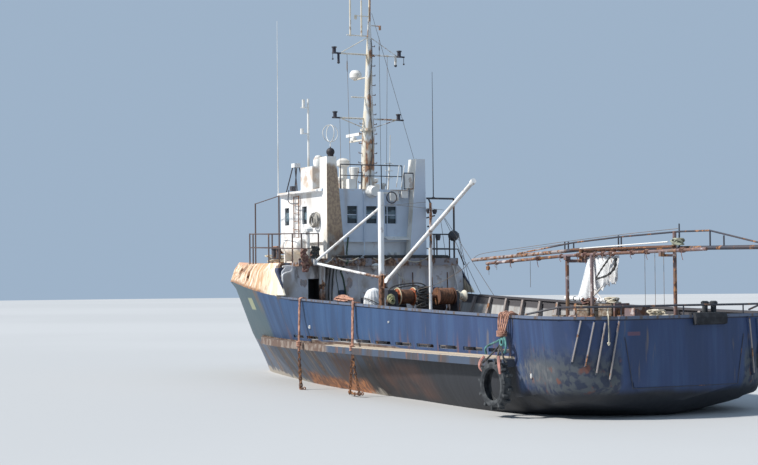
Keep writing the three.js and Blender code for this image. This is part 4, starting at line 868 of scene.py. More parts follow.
brown_rope = plain_finish("brown_rope", (0.20, 0.095, 0.055), (0.11, 0.06, 0.042), 0.9, 7.0)
weed_rope = plain_finish("weed_rope", (0.45, 0.42, 0.25), (0.28, 0.30, 0.16), 0.9, 7.0)
cream_rim = worn_paint("cream_rim", (0.66, 0.60, 0.42), rust=0.5, run=2.0)
hose_green = plain_finish("hose_green", (0.035, 0.075, 0.045), (0.03, 0.04, 0.035), 0.55, 4.0)
navy_box = plain_finish("navy_box", (0.03, 0.05, 0.12), (0.06, 0.07, 0.10), 0.5, 5.0)
net_brown = plain_finish("net_brown", (0.17, 0.085, 0.078), (0.26, 0.17, 0.13), 0.95, 8.0)
hose_grey = plain_finish("hose_grey", (0.42, 0.40, 0.36), (0.12, 0.12, 0.12), 0.7, 5.0)
bundle_green = plain_finish("bundle_green", (0.30, 0.33, 0.26), (0.15, 0.15, 0.12), 0.9, 7.0)
crate_wood = plain_finish("crate_wood", (0.15, 0.105, 0.075), (0.28, 0.25, 0.21), 0.9, 9.0)
canvas = canvas_finish("canvas", (0.84, 0.87, 0.90), (0.55, 0.55, 0.55))

# %% [markdown]
# ## Dressing the solids
#
# The solids of the model are flat facets. A real plate is smooth between its seams, so each
# solid gets one small set of geometry nodes: join the loose corners, call every face smooth, and
# keep the edges sharp where two faces meet at a clear angle. The shapes stay as they are.

# %% Smooth shading for the model's own solids
def even_shading():
    """Nodes: merge by distance, then sharp edges where the angle between faces is over 30 degrees."""
    tree = bpy.data.node_groups.new("even_shading", "GeometryNodeTree")
    for way in ("INPUT", "OUTPUT"):
        tree.interface.new_socket("Geometry", in_out=way, socket_type="NodeSocketGeometry")
    kinds = ["NodeGroupInput", "GeometryNodeMergeByDistance", "GeometryNodeSetShadeSmooth",
             "GeometryNodeSetShadeSmooth", "NodeGroupOutput"]
    start, merge, faces, edges, end = [tree.nodes.new(kind) for kind in kinds]
    merge.inputs["Distance"].default_value = 0.0002
    edges.domain = "EDGE"
    edges.inputs["Shade Smooth"].default_value = False
    angle = tree.nodes.new("GeometryNodeInputMeshEdgeAngle")
    sharp = tree.nodes.new("FunctionNodeCompare")
    sharp.inputs[1].default_value = math.radians(30)
    for a, b in [(start, merge), (merge, faces), (faces, edges), (edges, end)]:
        tree.links.new(a.outputs[0], b.inputs[0])
    tree.links.new(angle.outputs["Unsigned Angle"], sharp.inputs[0])
    tree.links.new(sharp.outputs[0], edges.inputs["Selection"])
    return tree


# %% [markdown]
# Each solid is named once, beside its finish, so none is forgotten: the last line counts
# them against the model.

# %% A finish for every solid
SHADING = even_shading()
FINISHES = {
    hull_blue: ["hull", "bulwark_port", "bulwark_starboard", "bulwark_stern", "forecastle", "rudder"],
    whaleback_cream: ["whaleback"],
    bulkhead_grey: ["forecastle_bulkhead"],
    house_white: ["deckhouse_trunk", "wheelhouse", "wheelhouse_roof", "wheelhouse_door", "roof_locker"],
    tower_white: ["exhaust_tower_port", "exhaust_tower_starboard"],
    mast_paint: ["main_mast"],
    finder_white: ["direction_finder"],
    gear_white: ["radar_dome", "radar_scanner", "mushroom_vent", "signal_pole", "roof_ventilator",
                 "roof_radome", "whip_antenna_port", "floodlights", "raft_canister", "raft_cradle"],
    spar_white: ["derrick_boom"],
    king_white: ["king_post"],
    pillar_white: ["deck_pillar"],
    rusty_steel: ["gooseneck"],
    rail_brown: ["boat_deck_rail"],
    pipe_rust: ["spar_pipe", "portal_posts", "stern_post"],
    windlass_rust: ["windlass", "windlass_drum"],
    hatch_brown: ["hatch_coaming", "hatch_lid"],
    winch_orange: ["winch_drum_port"],
    winch_brown: ["winch_drum_starboard"],
    dark_steel: ["stern_rail", "whip_antenna_starboard", "winch_frame", "roller_stand", "roof_rail"],
    dark_frame: ["starboard_frame"],
    dark_truss: ["spar_truss"],
    dark_stand: ["roof_stand"],
    rubber: ["tyre_fender", "stern_roller_port", "stern_roller_starboard"],
    black_rubber: ["stern_pad"],
    window_glass: ["wheelhouse_glazing"],
    bronze: ["propeller"],
    canvas: ["hanging_canvas", "covered_gear", "canvas_roll"],
    pale_rope: ["quarter_rope"],
}
for finish, names in FINISHES.items():
    for name in names:
        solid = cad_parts[name]
        solid.data.materials.clear()
        solid.data.materials.append(finish)
        solid.modifiers.new("even_shading", "NODES").node_group = SHADING
print("dressed:", sum(len(names) for names in FINISHES.values()), "of", len(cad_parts))

# %% [markdown]
# ## Rope and chain
#
# A laid rope is three strands twisted together, so its outline bulges where a strand passes.
# The bulge can be written into the radius: a wave that turns round the rope as it goes along.
# A chain is one small link, copied along a line with every second copy turned a quarter.

# %% Laid rope
def rope(path, radius, strands=3, lay=8.0, sides=10):
    """Radius * (1 + 0.16 * cos(strands * (angle - length / (lay * radius)))) round the path."""
    path = np.asarray(path, float)
    one, two = frames(path)
    length = np.r_[0, np.cumsum(np.linalg.norm(np.diff(path, axis=0), axis=1))]
    angle = np.linspace(0, 2 * np.pi, sides, endpoint=False)[None, :]
    size = radius * (1 + 0.16 * np.cos(strands * (angle - length[:, None] / (lay * radius))))
    ring = np.cos(angle)[..., None] * one[:, None] + np.sin(angle)[..., None] * two[:, None]
    return closed_tube(path[:, None] + size[..., None] * ring)


print("points of a rope of 1 m:", len(rope(np.linspace(at(0, 0, 0), at(1, 0, 0), 40), 0.015)[0]))

# %% [markdown]
# A coil is a ring that rises as it turns. A chain repeats one link along a line, worked out
# for all links at once. A heap is a line that wanders, with its chance seeded.

# %% Rings, chain and heaps
def ring_line(centre, radius, turns=1.0, count=25, axis=1, lift=0.0):
    """Points round a circle about an axis; lift moves it along the axis by that much in all."""
    angle = np.linspace(0, 2 * np.pi * turns, count)
    flat = np.stack([radius * np.cos(angle), radius * np.sin(angle), lift * np.linspace(0, 1, count)], -1)
    return np.roll(flat, axis - 2, axis=1) + np.asarray(centre)


def chain(path, link=0.11, wire=0.012):
    """Oval links: each ring is (a * cos, b * sin) along the line, and odd ones are turned."""
    path = np.asarray(path, float)
    lengths = np.r_[0, np.cumsum(np.linalg.norm(np.diff(path, axis=0), axis=1))]
    count = max(2, int(lengths[-1] / (link * 0.72)))
    places = np.linspace(0, lengths[-1], count)
    centres = np.stack([np.interp(places, lengths, path[:, i]) for i in range(3)], -1)
    ahead = np.gradient(centres, axis=0)
    ahead /= np.linalg.norm(ahead, axis=1, keepdims=True)
    one, two = frames(centres)
    wide = np.where((np.arange(count) % 2 == 0)[:, None], one, two)
    thin = np.cross(ahead, wide)
    turn = np.linspace(0, 2 * np.pi, 10, endpoint=False)
    tube = np.linspace(0, 2 * np.pi, 5, endpoint=False)
    out = np.stack([np.cos(turn) * link / 2, np.sin(turn) * link / 3.2], -1)
    away = out / np.linalg.norm(out, axis=1, keepdims=True)
    grid = out[None, :, None, :] + away[None, :, None, :] * (wire * np.cos(tube))[None, None, :, None]
    points = (centres[:, None, None] + grid[..., :1] * ahead[:, None, None]
              + grid[..., 1:] * wide[:, None, None]
              + (wire * np.sin(tube))[None, None, :, None] * thin[:, None, None])
    ring = grid_faces(11, 5)
    ring = np.where(ring >= 50, ring - 50, ring)
    faces = (ring[None] + 50 * np.arange(count)[:, None, None]).reshape(-1, 4)
    return points.reshape(-1, 3), faces


def heap_line(centre, size, loops, count, seed):
    """A wandering closed line: slow circles of changing width, lifted a little at random."""
    luck = np.random.default_rng(seed)
    t = np.linspace(0, 2 * np.pi * loops, count)
    wide = 0.65 + 0.35 * np.sin(t * 0.37 + luck.uniform(0, 6))
    x = size[0] * wide * np.cos(t + 0.6 * np.sin(t * 0.21))
    y = size[1] * wide * np.sin(t)
    z = size[2] * (0.5 + 0.5 * np.sin(t * 0.73 + luck.uniform(0, 6)))
    return np.stack([x, y, z], -1) + np.asarray(centre)


# %% [markdown]
# ## The rope end over the quarter
#
# One free rope end hangs from the stern rail over the port quarter. It leaves the rail straight
# down, bends over the cap of the bulwark and hangs along the plates to a knot. Its middle line
# repeats the route of the solid that it replaces.

# %% The free rope end
ROPE_ROUTE = [[200, 2350, 2889.9], [200, 2350, 2810], [130, 2395, 2728], [65, 2432, 2700],
              [38, 2446, 2620], [32, 2448, 2300], [32, 2448, 1990]]


def free_rope():
    """A rope of 30 mm along the route, with a knot of two crossed rings at its low end."""
    knots = np.array([at(s / 1000, y / 1000, z / 1000) for s, y, z in ROPE_ROUTE])
    line = smooth_line(knots, 73)
    length = float(np.linalg.norm(np.diff(line, axis=0), axis=1).sum())
    end = line[-1]
    knot = make_piece("quarter_rope_knot", [
        rope(ring_line(end + [0, 0, 0.01], 0.03, count=17, axis=2), 0.016),
        rope(ring_line(end + [0, 0, -0.005], 0.024, count=17, axis=0), 0.016),
        rope(ring_line(end + [0, 0, -0.02], 0.026, count=17, axis=1), 0.016)], pale_rope)
    piece = make_piece("quarter_rope_strands", [rope(line, 0.0145)], pale_rope)
    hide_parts("quarter_rope")
    return length


print("free rope length:", round(free_rope(), 3))

# %% [markdown]
# ## Lines and tyre on the port side
#
# Two heavy orange ropes hang from the cap rail, pass outside the rubbing strake and end in
# chains at the water: they once held fenders. The tyre hangs from a hank of orange line, with a
# green rope and two pink slings. All of them are held taut by what hangs on them.

# %% Ropes on the side
CHAIN_LINES = [
    # station, half the width of the rope pair, height of the chain's foot, spread of the chain
    (15.33, 0.035, 0.05, 0.05),
    (11.42, 0.05, 0.12, 0.32),
]
TYRE_TAILS = [
    # station, y and z of points along each line; so too for the green lines and the slings
    [(2.69, 4.0, 2.2), (2.72, 4.05, 1.9), (2.95, 4.2, 1.62), (3.15, 4.30, 1.42)],
    [(2.66, 4.0, 2.2), (2.66, 4.06, 1.9), (2.5, 4.24, 1.62), (2.38, 4.33, 1.46)],
    [(2.63, 4.0, 2.2), (2.6, 4.06, 1.9), (2.45, 4.1, 1.6), (2.35, 4.06, 1.46)],
]
TYRE_SLINGS = [
    [(3.08, 4.30, 1.60), (3.17, 4.36, 1.46), (3.20, 4.36, 1.30), (3.12, 4.30, 1.2)],
    [(2.36, 4.30, 1.62), (2.24, 4.37, 1.42), (2.20, 4.36, 1.22), (2.26, 4.28, 1.10)],
]
GREEN_LONG = [(2.66, 4.05, 2.06), (2.85, 4.07, 1.98), (3.15, 4.08, 1.9), (3.36, 4.08, 1.80),
              (3.37, 4.06, 1.64)]
GREEN_SHORT = [(2.5, 4.03, 2.12), (2.42, 4.04, 2.0), (2.40, 4.05, 1.84), (2.48, 4.05, 1.70)]


def side_lines():
    """Each pair of ropes leaves the cap rail, clears the strake and drops to its chain."""
    orange, chains = [], []
    for s, width, foot, spread in CHAIN_LINES:
        lower = (15.33 - s) * 0.028
        line = route([(s, 3.70, 3.035 - lower), (s, 3.90, 3.05 - lower), (s, 3.935, 2.85),
                      (s, 3.965, 1.62), (s, 3.97, 1.30)], 60)
        orange.append(rope(line + [width * 0.6, 0, 0], 0.028))
        orange.append(rope(line - [width * 0.6, 0, 0], 0.028))
        orange.append(rope(ring_line(at(s, 3.97, 1.45), 0.07, 2.5, 40, 2, 0.16), 0.026))
        for way in (-spread, spread):
            legs = [(s, 3.97, 1.35), (s + way * 0.4, 3.95, 0.8), (s + way, 3.9, foot)]
            chains.append(chain(route(legs, 20), 0.13, 0.017))
        low = [(s - spread - 0.12, 3.86, foot), (s, 3.9, foot - 0.03), (s + spread + 0.12, 3.86, foot)]
        chains.append(chain(route(low, 12), 0.13, 0.02))
    make_piece("side_ropes", orange, orange_rope)
    make_piece("side_chains", chains, rusty_steel)


side_lines()

# %% [markdown]
# The lines of the tyre were made fast by hand, over each other. Each is a short route of
# its own, and the hank spreads on the cap rail and gathers below it.

# %% Lines of the tyre
def tyre_lines():
    """A hank of orange strands over the cap rail, a band, dark tails, green rope and pink slings."""
    low, cap = at(2.66, 4.02, 2.20), 2.725
    strands = []
    for i, s in enumerate(np.linspace(2.40, 2.88, 7)):
        bow = 0.04 * math.sin(i * 2.1)
        gather = s * 0.85 + 0.15 * 2.66 + bow
        knots = [at(s, 3.66, cap - 0.03), at(s, 3.80, cap + 0.03 + bow), at(s, 3.93, cap),
                 at(gather, 3.985, 2.5), low + [0.042 * (i - 3), 0.02 * (i % 2), 0]]
        strands.append(rope(smooth_line(knots, 30), 0.022))
    for z in (2.16, 2.21, 2.26):
        strands.append(rope(ring_line(at(2.67, 4.0, z), 0.115, count=25, axis=2), 0.03))
    make_piece("tyre_hank", strands, orange_rope)
    make_piece("tyre_tails", [rope(route(rows, 24), 0.024) for rows in TYRE_TAILS], dark_rope)
    greens = [route(GREEN_LONG, 30), route(GREEN_SHORT, 24)]
    greens.append(ring_line(at(2.55, 4.04, 1.99), 0.09, 2.0, 40, 1, 0.05))
    make_piece("tyre_green_rope", [rope(line, 0.028) for line in greens], green_rope)
    make_piece("tyre_slings", [rope(route(rows, 20), 0.038) for rows in TYRE_SLINGS], pink_rope)


tyre_lines()

# %% [markdown]
# ## Rope left on the rail
#
# A wet line is dropped wherever it lands. A heap is a wandering line: slow circles whose
# width keeps changing, laid flat with small lifts. Chance is seeded, so the heap is the same at
# every run.

# %% Heaps of rope
CAP_TAIL = [(12.9, 3.8, 3.03), (12.6, 3.84, 3.11), (12.25, 3.8, 3.13), (11.8, 3.85, 3.05), (11.5, 3.87, 3.03)]
DECK_HEAPS = [
    # middle, half sizes, loops, points and seed
    ((15.5, 2.9, 1.68), (0.5, 0.45, 0.25), 12, 300, 5),
    ((3.2, -2.5, 1.68), (0.7, 0.6, 0.35), 14, 340, 8),
    ((22.9, 1.2, 4.36), (0.35, 0.6, 0.25), 9, 220, 9),
]


def heaps():
    """Orange line on the port cap, and dark and pale line on the decks."""
    cap = heap_line(at(12.35, 3.78, 3.0), (0.55, 0.10, 0.10), 9, 260, 3)
    tail = route(CAP_TAIL, 40)
    lines = [rope(cap, 0.024), rope(tail, 0.026), rope(tail + [0.08, -0.05, 0.03], 0.024)]
    make_piece("cap_rope_heap", lines, orange_rope)
    deck = [heap_line(at(*middle), *facts) for middle, *facts in DECK_HEAPS]
    make_piece("deck_rope_heaps", [rope(line, 0.022, sides=8) for line in deck], pale_rope)
    fore = heap_line(at(17.75, 2.35, 4.34), (0.2, 0.3, 0.28), 9, 220, 15)
    make_piece("fore_rope_heap", [rope(fore, 0.028, sides=8)], net_brown)


heaps()

# %% [markdown]
# ## Canvas
#
# Torn canvas hangs from the pipe as one sheet: straight along the pipe, ragged below, with folds
# that grow towards the loose edge. The cover over the gear is a sheet pulled in at its foot, and
# the roll on the far bulwark is a sheet wound round itself. Each is a function of two
# parameters, across and down, so its folds are waves whose height grows with distance from
# where the cloth is held.

# %% A sheet and its area
def cloth(name, points, ring=False, **facts):
    """A sheet from a grid of points (rows, columns, 3), 4 mm thick, returned with its area: the
    sum over the grid of the length of (step across) x (step down)."""
    rows, columns, _ = points.shape
    faces = grid_faces(rows, columns, ring)
    piece = make_piece(name, [(points.reshape(-1, 3), faces)], canvas, crease=80)
    wall = piece.modifiers.new("cloth", "SOLIDIFY")
    wall.thickness, wall.offset = 0.004, 0
    shown = np.concatenate([points, points[:, :1]], 1) if ring else points
    across, down = np.diff(shown, axis=1), np.diff(shown, axis=0)
    area = float(np.linalg.norm(np.cross(across[:-1], down[:, :-1]), axis=-1).sum())
    return piece, area


# %% [markdown]
# The upper edge of the torn canvas is straight, because it is laced to the pipe. Its lower
# edge follows a table of points, and the folds grow from one to the other.

# %% The torn canvas
CANVAS_FOOT = [(4.338, 3.09), (3.767, 3.11), (3.285, 3.346), (2.952, 3.513), (2.605, 3.485), (2.45, 3.9)]
HEMS = [
    # station and height of points down each dark strip, and its first and last radius
    ([(2.333, 4.211), (2.394, 3.938), (2.716, 3.734), (3.257, 3.626)], (0.045, 0.025)),
    ([(2.59, 4.229), (2.944, 3.943), (3.275, 3.64)], (0.025, 0.02)),
]


def hanging_canvas():
    """Straight from the pipe to a ragged lower edge; folds are sine waves that grow downwards."""
    low = np.array(CANVAS_FOOT)
    u, v = np.meshgrid(np.linspace(0, 1, 90), np.linspace(0, 1, 60))
    place = u * (len(low) - 1)
    foot_s, foot_z = (np.interp(place, np.arange(len(low)), low[:, i]) for i in (0, 1))
    foot_z = foot_z + 0.03 * np.sin(u * 43) + 0.02 * np.sin(u * 91 + 1)
    head_s, head_z = 3.742 - u * (3.742 - 2.313), 4.262 + 0.008 * u
    s, z = head_s + (foot_s - head_s) * v, head_z + (foot_z - head_z) * v
    y = 0.388 + v * (0.012 * np.sin(u * 17 + v * 2) + 0.008 * np.sin(u * 41 - v * 5))
    y = y - 0.14 * v**2 * np.sin(np.pi * u) - v * 0.05 * np.sin(u * 17 + v * 2) ** 2
    piece, area = cloth("torn_canvas", np.stack([s - MIDSHIP, y, z], -1), held="hung", rests_on=["spar_pipe"])
    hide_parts("hanging_canvas")
    strips = []
    for edge, thick in HEMS:
        line = route([(s, 0.5, z) for s, z in edge], 40)
        lumpy = 1 + 0.25 * np.sin(np.arange(40) * 0.9)
        strips.append(sweep(line, np.linspace(*thick, 40) * lumpy, 8))
    make_piece("torn_canvas_hem", strips, dark_rope)
    return area


print("torn canvas in square metres:", round(hanging_canvas(), 2))

# %% [markdown]
# The cover closes on itself, so its grid is a ring. The roll is one sheet wound up, so its
# grid is a spiral, pinched where it is tied.

# %% The cover and the roll
GEAR_S, GEAR_Y = 13.26, 2.195
ROLL_START, ROLL_LENGTH, ROLL_Y, ROLL_LIFT = 10.90, 2.85, -3.76, 0.0955


def gear_cover():
    """Rings round the gear: wide below, narrow on top, with folds that run down and a lump."""
    a, h = np.meshgrid(np.linspace(0, 2 * np.pi, 120, endpoint=False), np.linspace(0, 1, 50))
    half_s, half_y = (np.interp(h, [0, .08, .45, .7, .86, 1], row)
                      for row in ([.28, .30, .30, .28, .20, .02], [.40, .41, .40, .36, .25, .02]))
    folds = 1 + 0.05 * np.sin(a * 7 + 4 * h) * (1 - h) + 0.03 * np.sin(a * 19 + 9 * h) * (1 - h * 0.5)
    lump = 1 + 0.09 * np.sin(2 * a + 1) * np.sin(h * 5)
    x = GEAR_S - MIDSHIP + half_s * np.cos(a) * folds * lump
    y = GEAR_Y + half_y * np.sin(a) * folds * lump
    z = 1.66 + np.interp(h, [0, .7, .9, 1], [0, 1.38, 1.66, 1.725]) + 0.05 * np.sin(a - 1) * h * (1 - h) * 4
    piece, area = cloth("gear_cover", np.stack([x, y, z], -1), ring=True, held="draped", rests_on=["hull"])
    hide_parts("covered_gear")
    turn = np.linspace(0, 2 * np.pi, 60)
    bands = [np.stack([GEAR_S - MIDSHIP + 0.32 * np.cos(turn), GEAR_Y + 0.425 * np.sin(turn),
                       height + tilt * np.sin(turn)], -1) for height, tilt in ((2.1, 0.05), (2.85, 0.22))]
    make_piece("cover_lashings", [sweep(line, 0.012, 6) for line in bands], dark_rope)
    return area


def canvas_roll():
    """A spiral: its radius grows from 18 to 72 mm over three and a half turns, pinched at its ties."""
    u, v = np.meshgrid(np.linspace(0, 1, 70), np.linspace(0, 1, 110))
    angle = 2 * np.pi * 3.5 * v
    pinched = np.exp(-((u * 8) % 1 - 0.5) ** 2 * 60)
    radius = 0.018 + 0.054 * v + v * 0.006 * np.sin(u * 25) - 0.010 * v * pinched
    x = ROLL_START - ROLL_LENGTH * u - MIDSHIP
    middle = table(SHEER, x) + ROLL_LIFT
    points = np.stack([x, ROLL_Y + radius * np.cos(angle), middle + radius * np.sin(angle)], -1)
    piece, area = cloth("rolled_canvas", points, held="folded", rests_on=["bulwark_starboard"])
    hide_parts("canvas_roll")
    ties = ROLL_START - ROLL_LENGTH * (np.arange(8) + 0.5) / 8 - MIDSHIP
    rings = [rope(ring_line([x, ROLL_Y, table(SHEER, x) + ROLL_LIFT], 0.072, count=25, axis=0), 0.010)
             for x in ties]
    make_piece("roll_lashings", rings, dark_rope)
    return area


print("cover and roll in square metres:", round(gear_cover(), 2), round(canvas_roll(), 2))

# %% [markdown]
# ## Mast: rungs, lamp shades and lines
#
# The mast is climbed by short rungs welded to its sides. Signal halyards run from the yards down
# to the roof, held taut. Lines are thin bars here: at this distance a line is less than a
# pixel wide, and a simple tube with few faces looks the same as a laid rope.

# %% Mast fittings
MAST_TAPER = [(6.89, 0.25), (9.0, 0.225), (10.1, 0.15), (11.9, 0.105), (13.1, 0.045), (13.8, 0.04)]


def mast_place(z):
    """Station and radius of the leaning mast at a height."""
    return 17.85 - 0.042 * (z - 6.89), table(MAST_TAPER, z)


SHADE_PROFILE = [(0, -0.02), (0.085, -0.02), (0.085, 0.02), (0.06, 0.03),
                 (0.06, 0.17), (0.095, 0.18), (0.095, 0.22), (0, 0.235)]


def mast_fittings():
    """Rungs on both sides, lamps on and below the yards, and a cable down the aft face."""
    rungs = []
    for z in np.arange(7.15, 12.1, 0.35):
        s, r = mast_place(z)
        for side in ((-1, 1) if z < 9.3 else (-1,)):
            end = side * (r + 0.13)
            rungs.append(bar(at(s, side * (r - 0.02), z), at(s, end, z), 0.014, 6))
            rungs.append(bar(at(s, end, z - 0.01), at(s, end, z + 0.05), 0.012, 6))
    make_piece("mast_rungs", rungs, rusty_steel)
    shades = []
    for z, y in ((9.44, 1.34), (9.44, -1.24), (11.74, 1.40), (11.74, -1.24)):
        shades.append(turned(at(mast_place(z)[0], y, z), SHADE_PROFILE, 14))
    for y, drop in ((1.23, 0.33), (-1.09, 0.33), (1.46, 0.22), (-1.43, 0.26)):
        s = mast_place(11.74)[0]
        shades.append(bar(at(s, y, 11.74), at(s, y, 11.74 - drop), 0.010, 6))
        shades.append(ball(at(s, y, 11.74 - drop), 0.055 if drop > 0.3 else 0.035, 12))
    make_piece("mast_lamps", shades, dark_steel)
    places = [(*mast_place(z), z) for z in np.linspace(7.0, 12.3, 12)]
    cable = route([(s - r - 0.02, 0.06 * math.sin(z * 2), z) for s, r, z in places], 60)
    make_piece("mast_cables", [sweep(cable, 0.014, 6)], dark_rope)


mast_fittings()

# %% [markdown]
# A halyard is held taut between two ends, so it is a straight bar, and a table of its ends
# is all it needs.

# %% Halyards
HALYARDS = [
    # foot and head of each line: station, y, z
    ((17.65, 0.78, 6.90), (17.65, 0.885, 11.72)),
    ((17.62, -0.649, 6.90), (17.65, -0.752, 11.72)),
    ((17.60, -0.424, 6.90), (17.60, -0.396, 12.38)),
    ((17.30, -1.62, 8.01), (17.60, -0.10, 13.25)),
    ((17.55, 1.22, 7.76), (17.64, 1.20, 9.42)),
    ((12.0, 2.483, 6.017), (16.9, -1.879, 6.429)),
    ((12.0, 2.373, 6.083), (16.9, -2.628, 6.149)),
]


def rigging():
    """Each halyard is a thin bar; two of them carry a small spindle-shaped weight."""
    lines = bars(HALYARDS, 0.0075, 5)
    weights = [
        sweep([at(17.65, 0.885, z) for z in (11.1, 11.2, 11.45, 11.5)], [0.006, 0.018, 0.018, 0.006], 6),
        sweep([at(17.6, -0.40, z) for z in (11.9, 11.95, 12.05, 12.1)], [0.006, 0.02, 0.02, 0.006], 6),
    ]
    make_piece("halyards", lines + weights, wire_grey)


rigging()

# %% [markdown]
# ## Plates and brackets of the bulwark
#
# A bulwark is one thin plate, so brackets welded to the deck hold it up every metre or so: deep
# at the foot, narrow below the cap, with a flat bar along the free edge. Where plates of the
# transom meet, the weld stands out as a thin bead. The ribs on the quarters get a pale strip
# along the edge, a painted highlight for the light the edge catches.

# %% Brackets
DECK_Z = 1.655
DECK_SIDE = [(-12.54, 3.73), (-9.0, 3.822), (-6.0, 3.822), (-3.0, 3.793), (0.0, 3.652), (2.4, 3.37)]
CAP_SIDE = [(-12.54, 3.85), (0.0, 3.85), (2.5, 3.835)]
PLATE_INSIDE = 0.066


def plate(corners, offset):
    """A flat outline given a thickness: the outline and the same outline moved by offset."""
    corners = np.asarray(corners, float)
    return closed_tube(np.array([corners, corners + np.asarray(offset)]))


def stanchions():
    """At each station a web plate from deck to cap and a flange along its sloping edge."""
    parts = []
    for s in np.arange(3.9, 16.8, 1.05):
        x = s - MIDSHIP
        deck, cap = table(DECK_SIDE, x) - PLATE_INSIDE, table(CAP_SIDE, x) - PLATE_INSIDE
        top = table(SHEER, x) - 0.056
        for side in (-1, 1):
            foot, head = side * (deck - 0.30), side * (cap - 0.12)
            web = [at(s, side * deck, DECK_Z), at(s, foot, DECK_Z), at(s, head, top), at(s, side * cap, top)]
            flange = [at(s - 0.05, foot, DECK_Z), at(s + 0.06, foot, DECK_Z),
                      at(s + 0.06, head, top), at(s - 0.05, head, top)]
            parts.append(plate(web, [0.014, 0, 0]))
            parts.append(plate(flange, [0, -side * 0.012, 0]))
    return make_piece("bulwark_brackets", parts, bracket_grey_rib_highlight)


stanchions()

# %% [markdown]
# The solids have the ribs already. A pale strip along each one is a painted highlight for the
# light its edge catches, so it is a sweep laid a few millimetres proud of the rib.

# %% Rib edges and weld beads
RIB_EDGES = [
    # s, y and z of points down the middle of each rib
    [(0.339, 3.086, 2.572), (0.407, 3.138, 2.209), (0.477, 3.190, 1.845), (0.566, 3.216, 1.524)],
    [(0.160, 2.803, 2.530), (0.235, 2.848, 2.147), (0.304, 2.897, 1.765), (0.360, 2.943, 1.428)],
    [(0.067, 2.521, 2.510), (0.105, 2.595, 2.070), (0.175, 2.645, 1.628), (0.238, 2.688, 1.239)],
    [(-0.011, 2.145, 2.550), (0.025, 2.228, 2.034), (0.065, 2.310, 1.518), (0.100, 2.380, 1.065)],
]


def stern_marks():
    """Pale strips on the ribs of both quarters as a painted highlight, and weld beads round the flat of the
    transom.
    """
    edges = []
    for rib in RIB_EDGES:
        # Painted highlight: a pale strip along the lit edge of each rib.
        for side in (-1, 1):
            line = route([(s - 0.010, side * (y + 0.008), z) for s, y, z in rib], 24)
            edges.append(sweep(line, 0.022, 6))
    make_piece("rib_highlights", edges, bracket_grey_rib_highlight)
    corners = [at(-0.003, y, z) for y, z in ((1.960, 2.14), (1.729, 0.81), (-1.729, 0.81), (-1.960, 2.14))]
    beads = [sweep(np.linspace(a, b, 20), 0.009, 6) for a, b in zip(corners, corners[1:])]
    make_piece("weld_beads", beads, dark_steel)


stern_marks()

# %% [markdown]
# ## Holes and outlets of the side
#
# Mooring lines pass through oval holes in the whaleback, each with a rounded rim that spares the
# rope. Lower down a short pipe lets the bilge water out. A rim is a closed ring on an oval, and
# the hole behind it is a dark plate of the same oval, painted shade for the inside of the hole.

# %% Mooring holes and outlets
MOORING = [
    # s, y, z of the middle, half length, half height
    (21.572, 3.060, 3.861, 0.17, 0.115),
    (25.10, 1.843, 4.010, 0.30, 0.12),
]
OUTLETS = [
    # station, y, z and outer radius
    (14.986, 3.70, 2.097, 0.055),
    (9.233, 3.82, 2.381, 0.03),
]
OUTWARD = np.array([0.0, 0.86, 0.51])


def openings():
    """An oval: centre + a * cos * ahead + b * sin * up the slope."""
    turn = np.linspace(0, 2 * np.pi, 28)
    rims, holes = [], []
    for s, y, z, a, b in MOORING:
        for side in (-1, 1):
            out = OUTWARD * [1, side, 1]
            ahead, upward = np.array([0.93, -0.37 * side, 0.03]), np.array([0.05, -0.5 * side, 0.86])
            oval = at(s, side * y, z) + a * np.cos(turn)[:, None] * ahead + b * np.sin(turn)[:, None] * upward
            rims.append(sweep(oval + out * 0.012, 0.026, 8))
            # Painted shade: a dark plate for the shaded inside of each hole.
            holes.append(plate(oval[:-1] + out * 0.004, out * 0.008))
    make_piece("mooring_rims", rims, rusty_steel)
    make_piece("mooring_hole_shades", holes, dark_steel)
    outlets = []
    for s, y, z, r in OUTLETS:
        for side in (-1, 1):
            out = 0.05 * side
            cup = [(0, -0.06), (r, -0.06), (r, out), (r * 0.7, out), (r * 0.7, 0.0), (0, 0.0)]
            outlets.append(turned(at(s, side * y, z), cup, 16, 1))
    outlets.append(box(at(1.73, 3.62, 1.06), at(1.77, 3.70, 1.18)))
    make_piece("outlets", outlets, gear_white)


openings()

# %% [markdown]
# ## Winch: wound rope, rims, gearbox and pipes
#
# A winch drum is a spool. Its rope lies in layers, each a screw line round the core, and the
# layer above lies in the grooves of the one below. The rope turns with its drum, so each layer
# rides on the drum's own body.

# %% Rope, rims and spokes of the drums
WINCH_S, WINCH_Z = 13.95, 3.07
DRUM_ROPES = [
    # body, start and end of the winding across the ship, layers
    ("winch_drum_port", 0.41, 0.90, 3),
    ("winch_drum_starboard", -1.15, -0.62, 4),
]


def drum_ropes():
    """Layers of screw line on each drum, and the rims and spokes of the port drum."""
    for body, start, end, layers in DRUM_ROPES:
        coils = []
        for layer in range(layers):
            turns = (end - start) / 0.046
            middle = at(WINCH_S, start + 0.011 * (layer % 2), WINCH_Z)
            screw = ring_line(middle, 0.152 + 0.036 * layer, turns, int(turns * 18), 1, end - start)
            coils.append(rope(screw, 0.022, sides=7))
        make_piece(f"{body}_rope", coils, brown_rope, body=body)
    rims = [sweep(ring_line(at(WINCH_S, y, WINCH_Z), 0.292, count=41), 0.02, 8) for y in (0.958, 0.352)]
    make_piece("drum_rims", rims, cream_rim, body="winch_drum_port")
    hub = at(WINCH_S, 0.968, WINCH_Z)
    ways = [np.array([math.cos(a), 0, math.sin(a)]) for a in np.arange(6) * math.pi / 3]
    spokes = [bar(hub + 0.09 * way, hub + 0.26 * way, 0.016, 6) for way in ways]
    make_piece("drum_spokes", spokes, winch_orange, body="winch_drum_port")


drum_ropes()

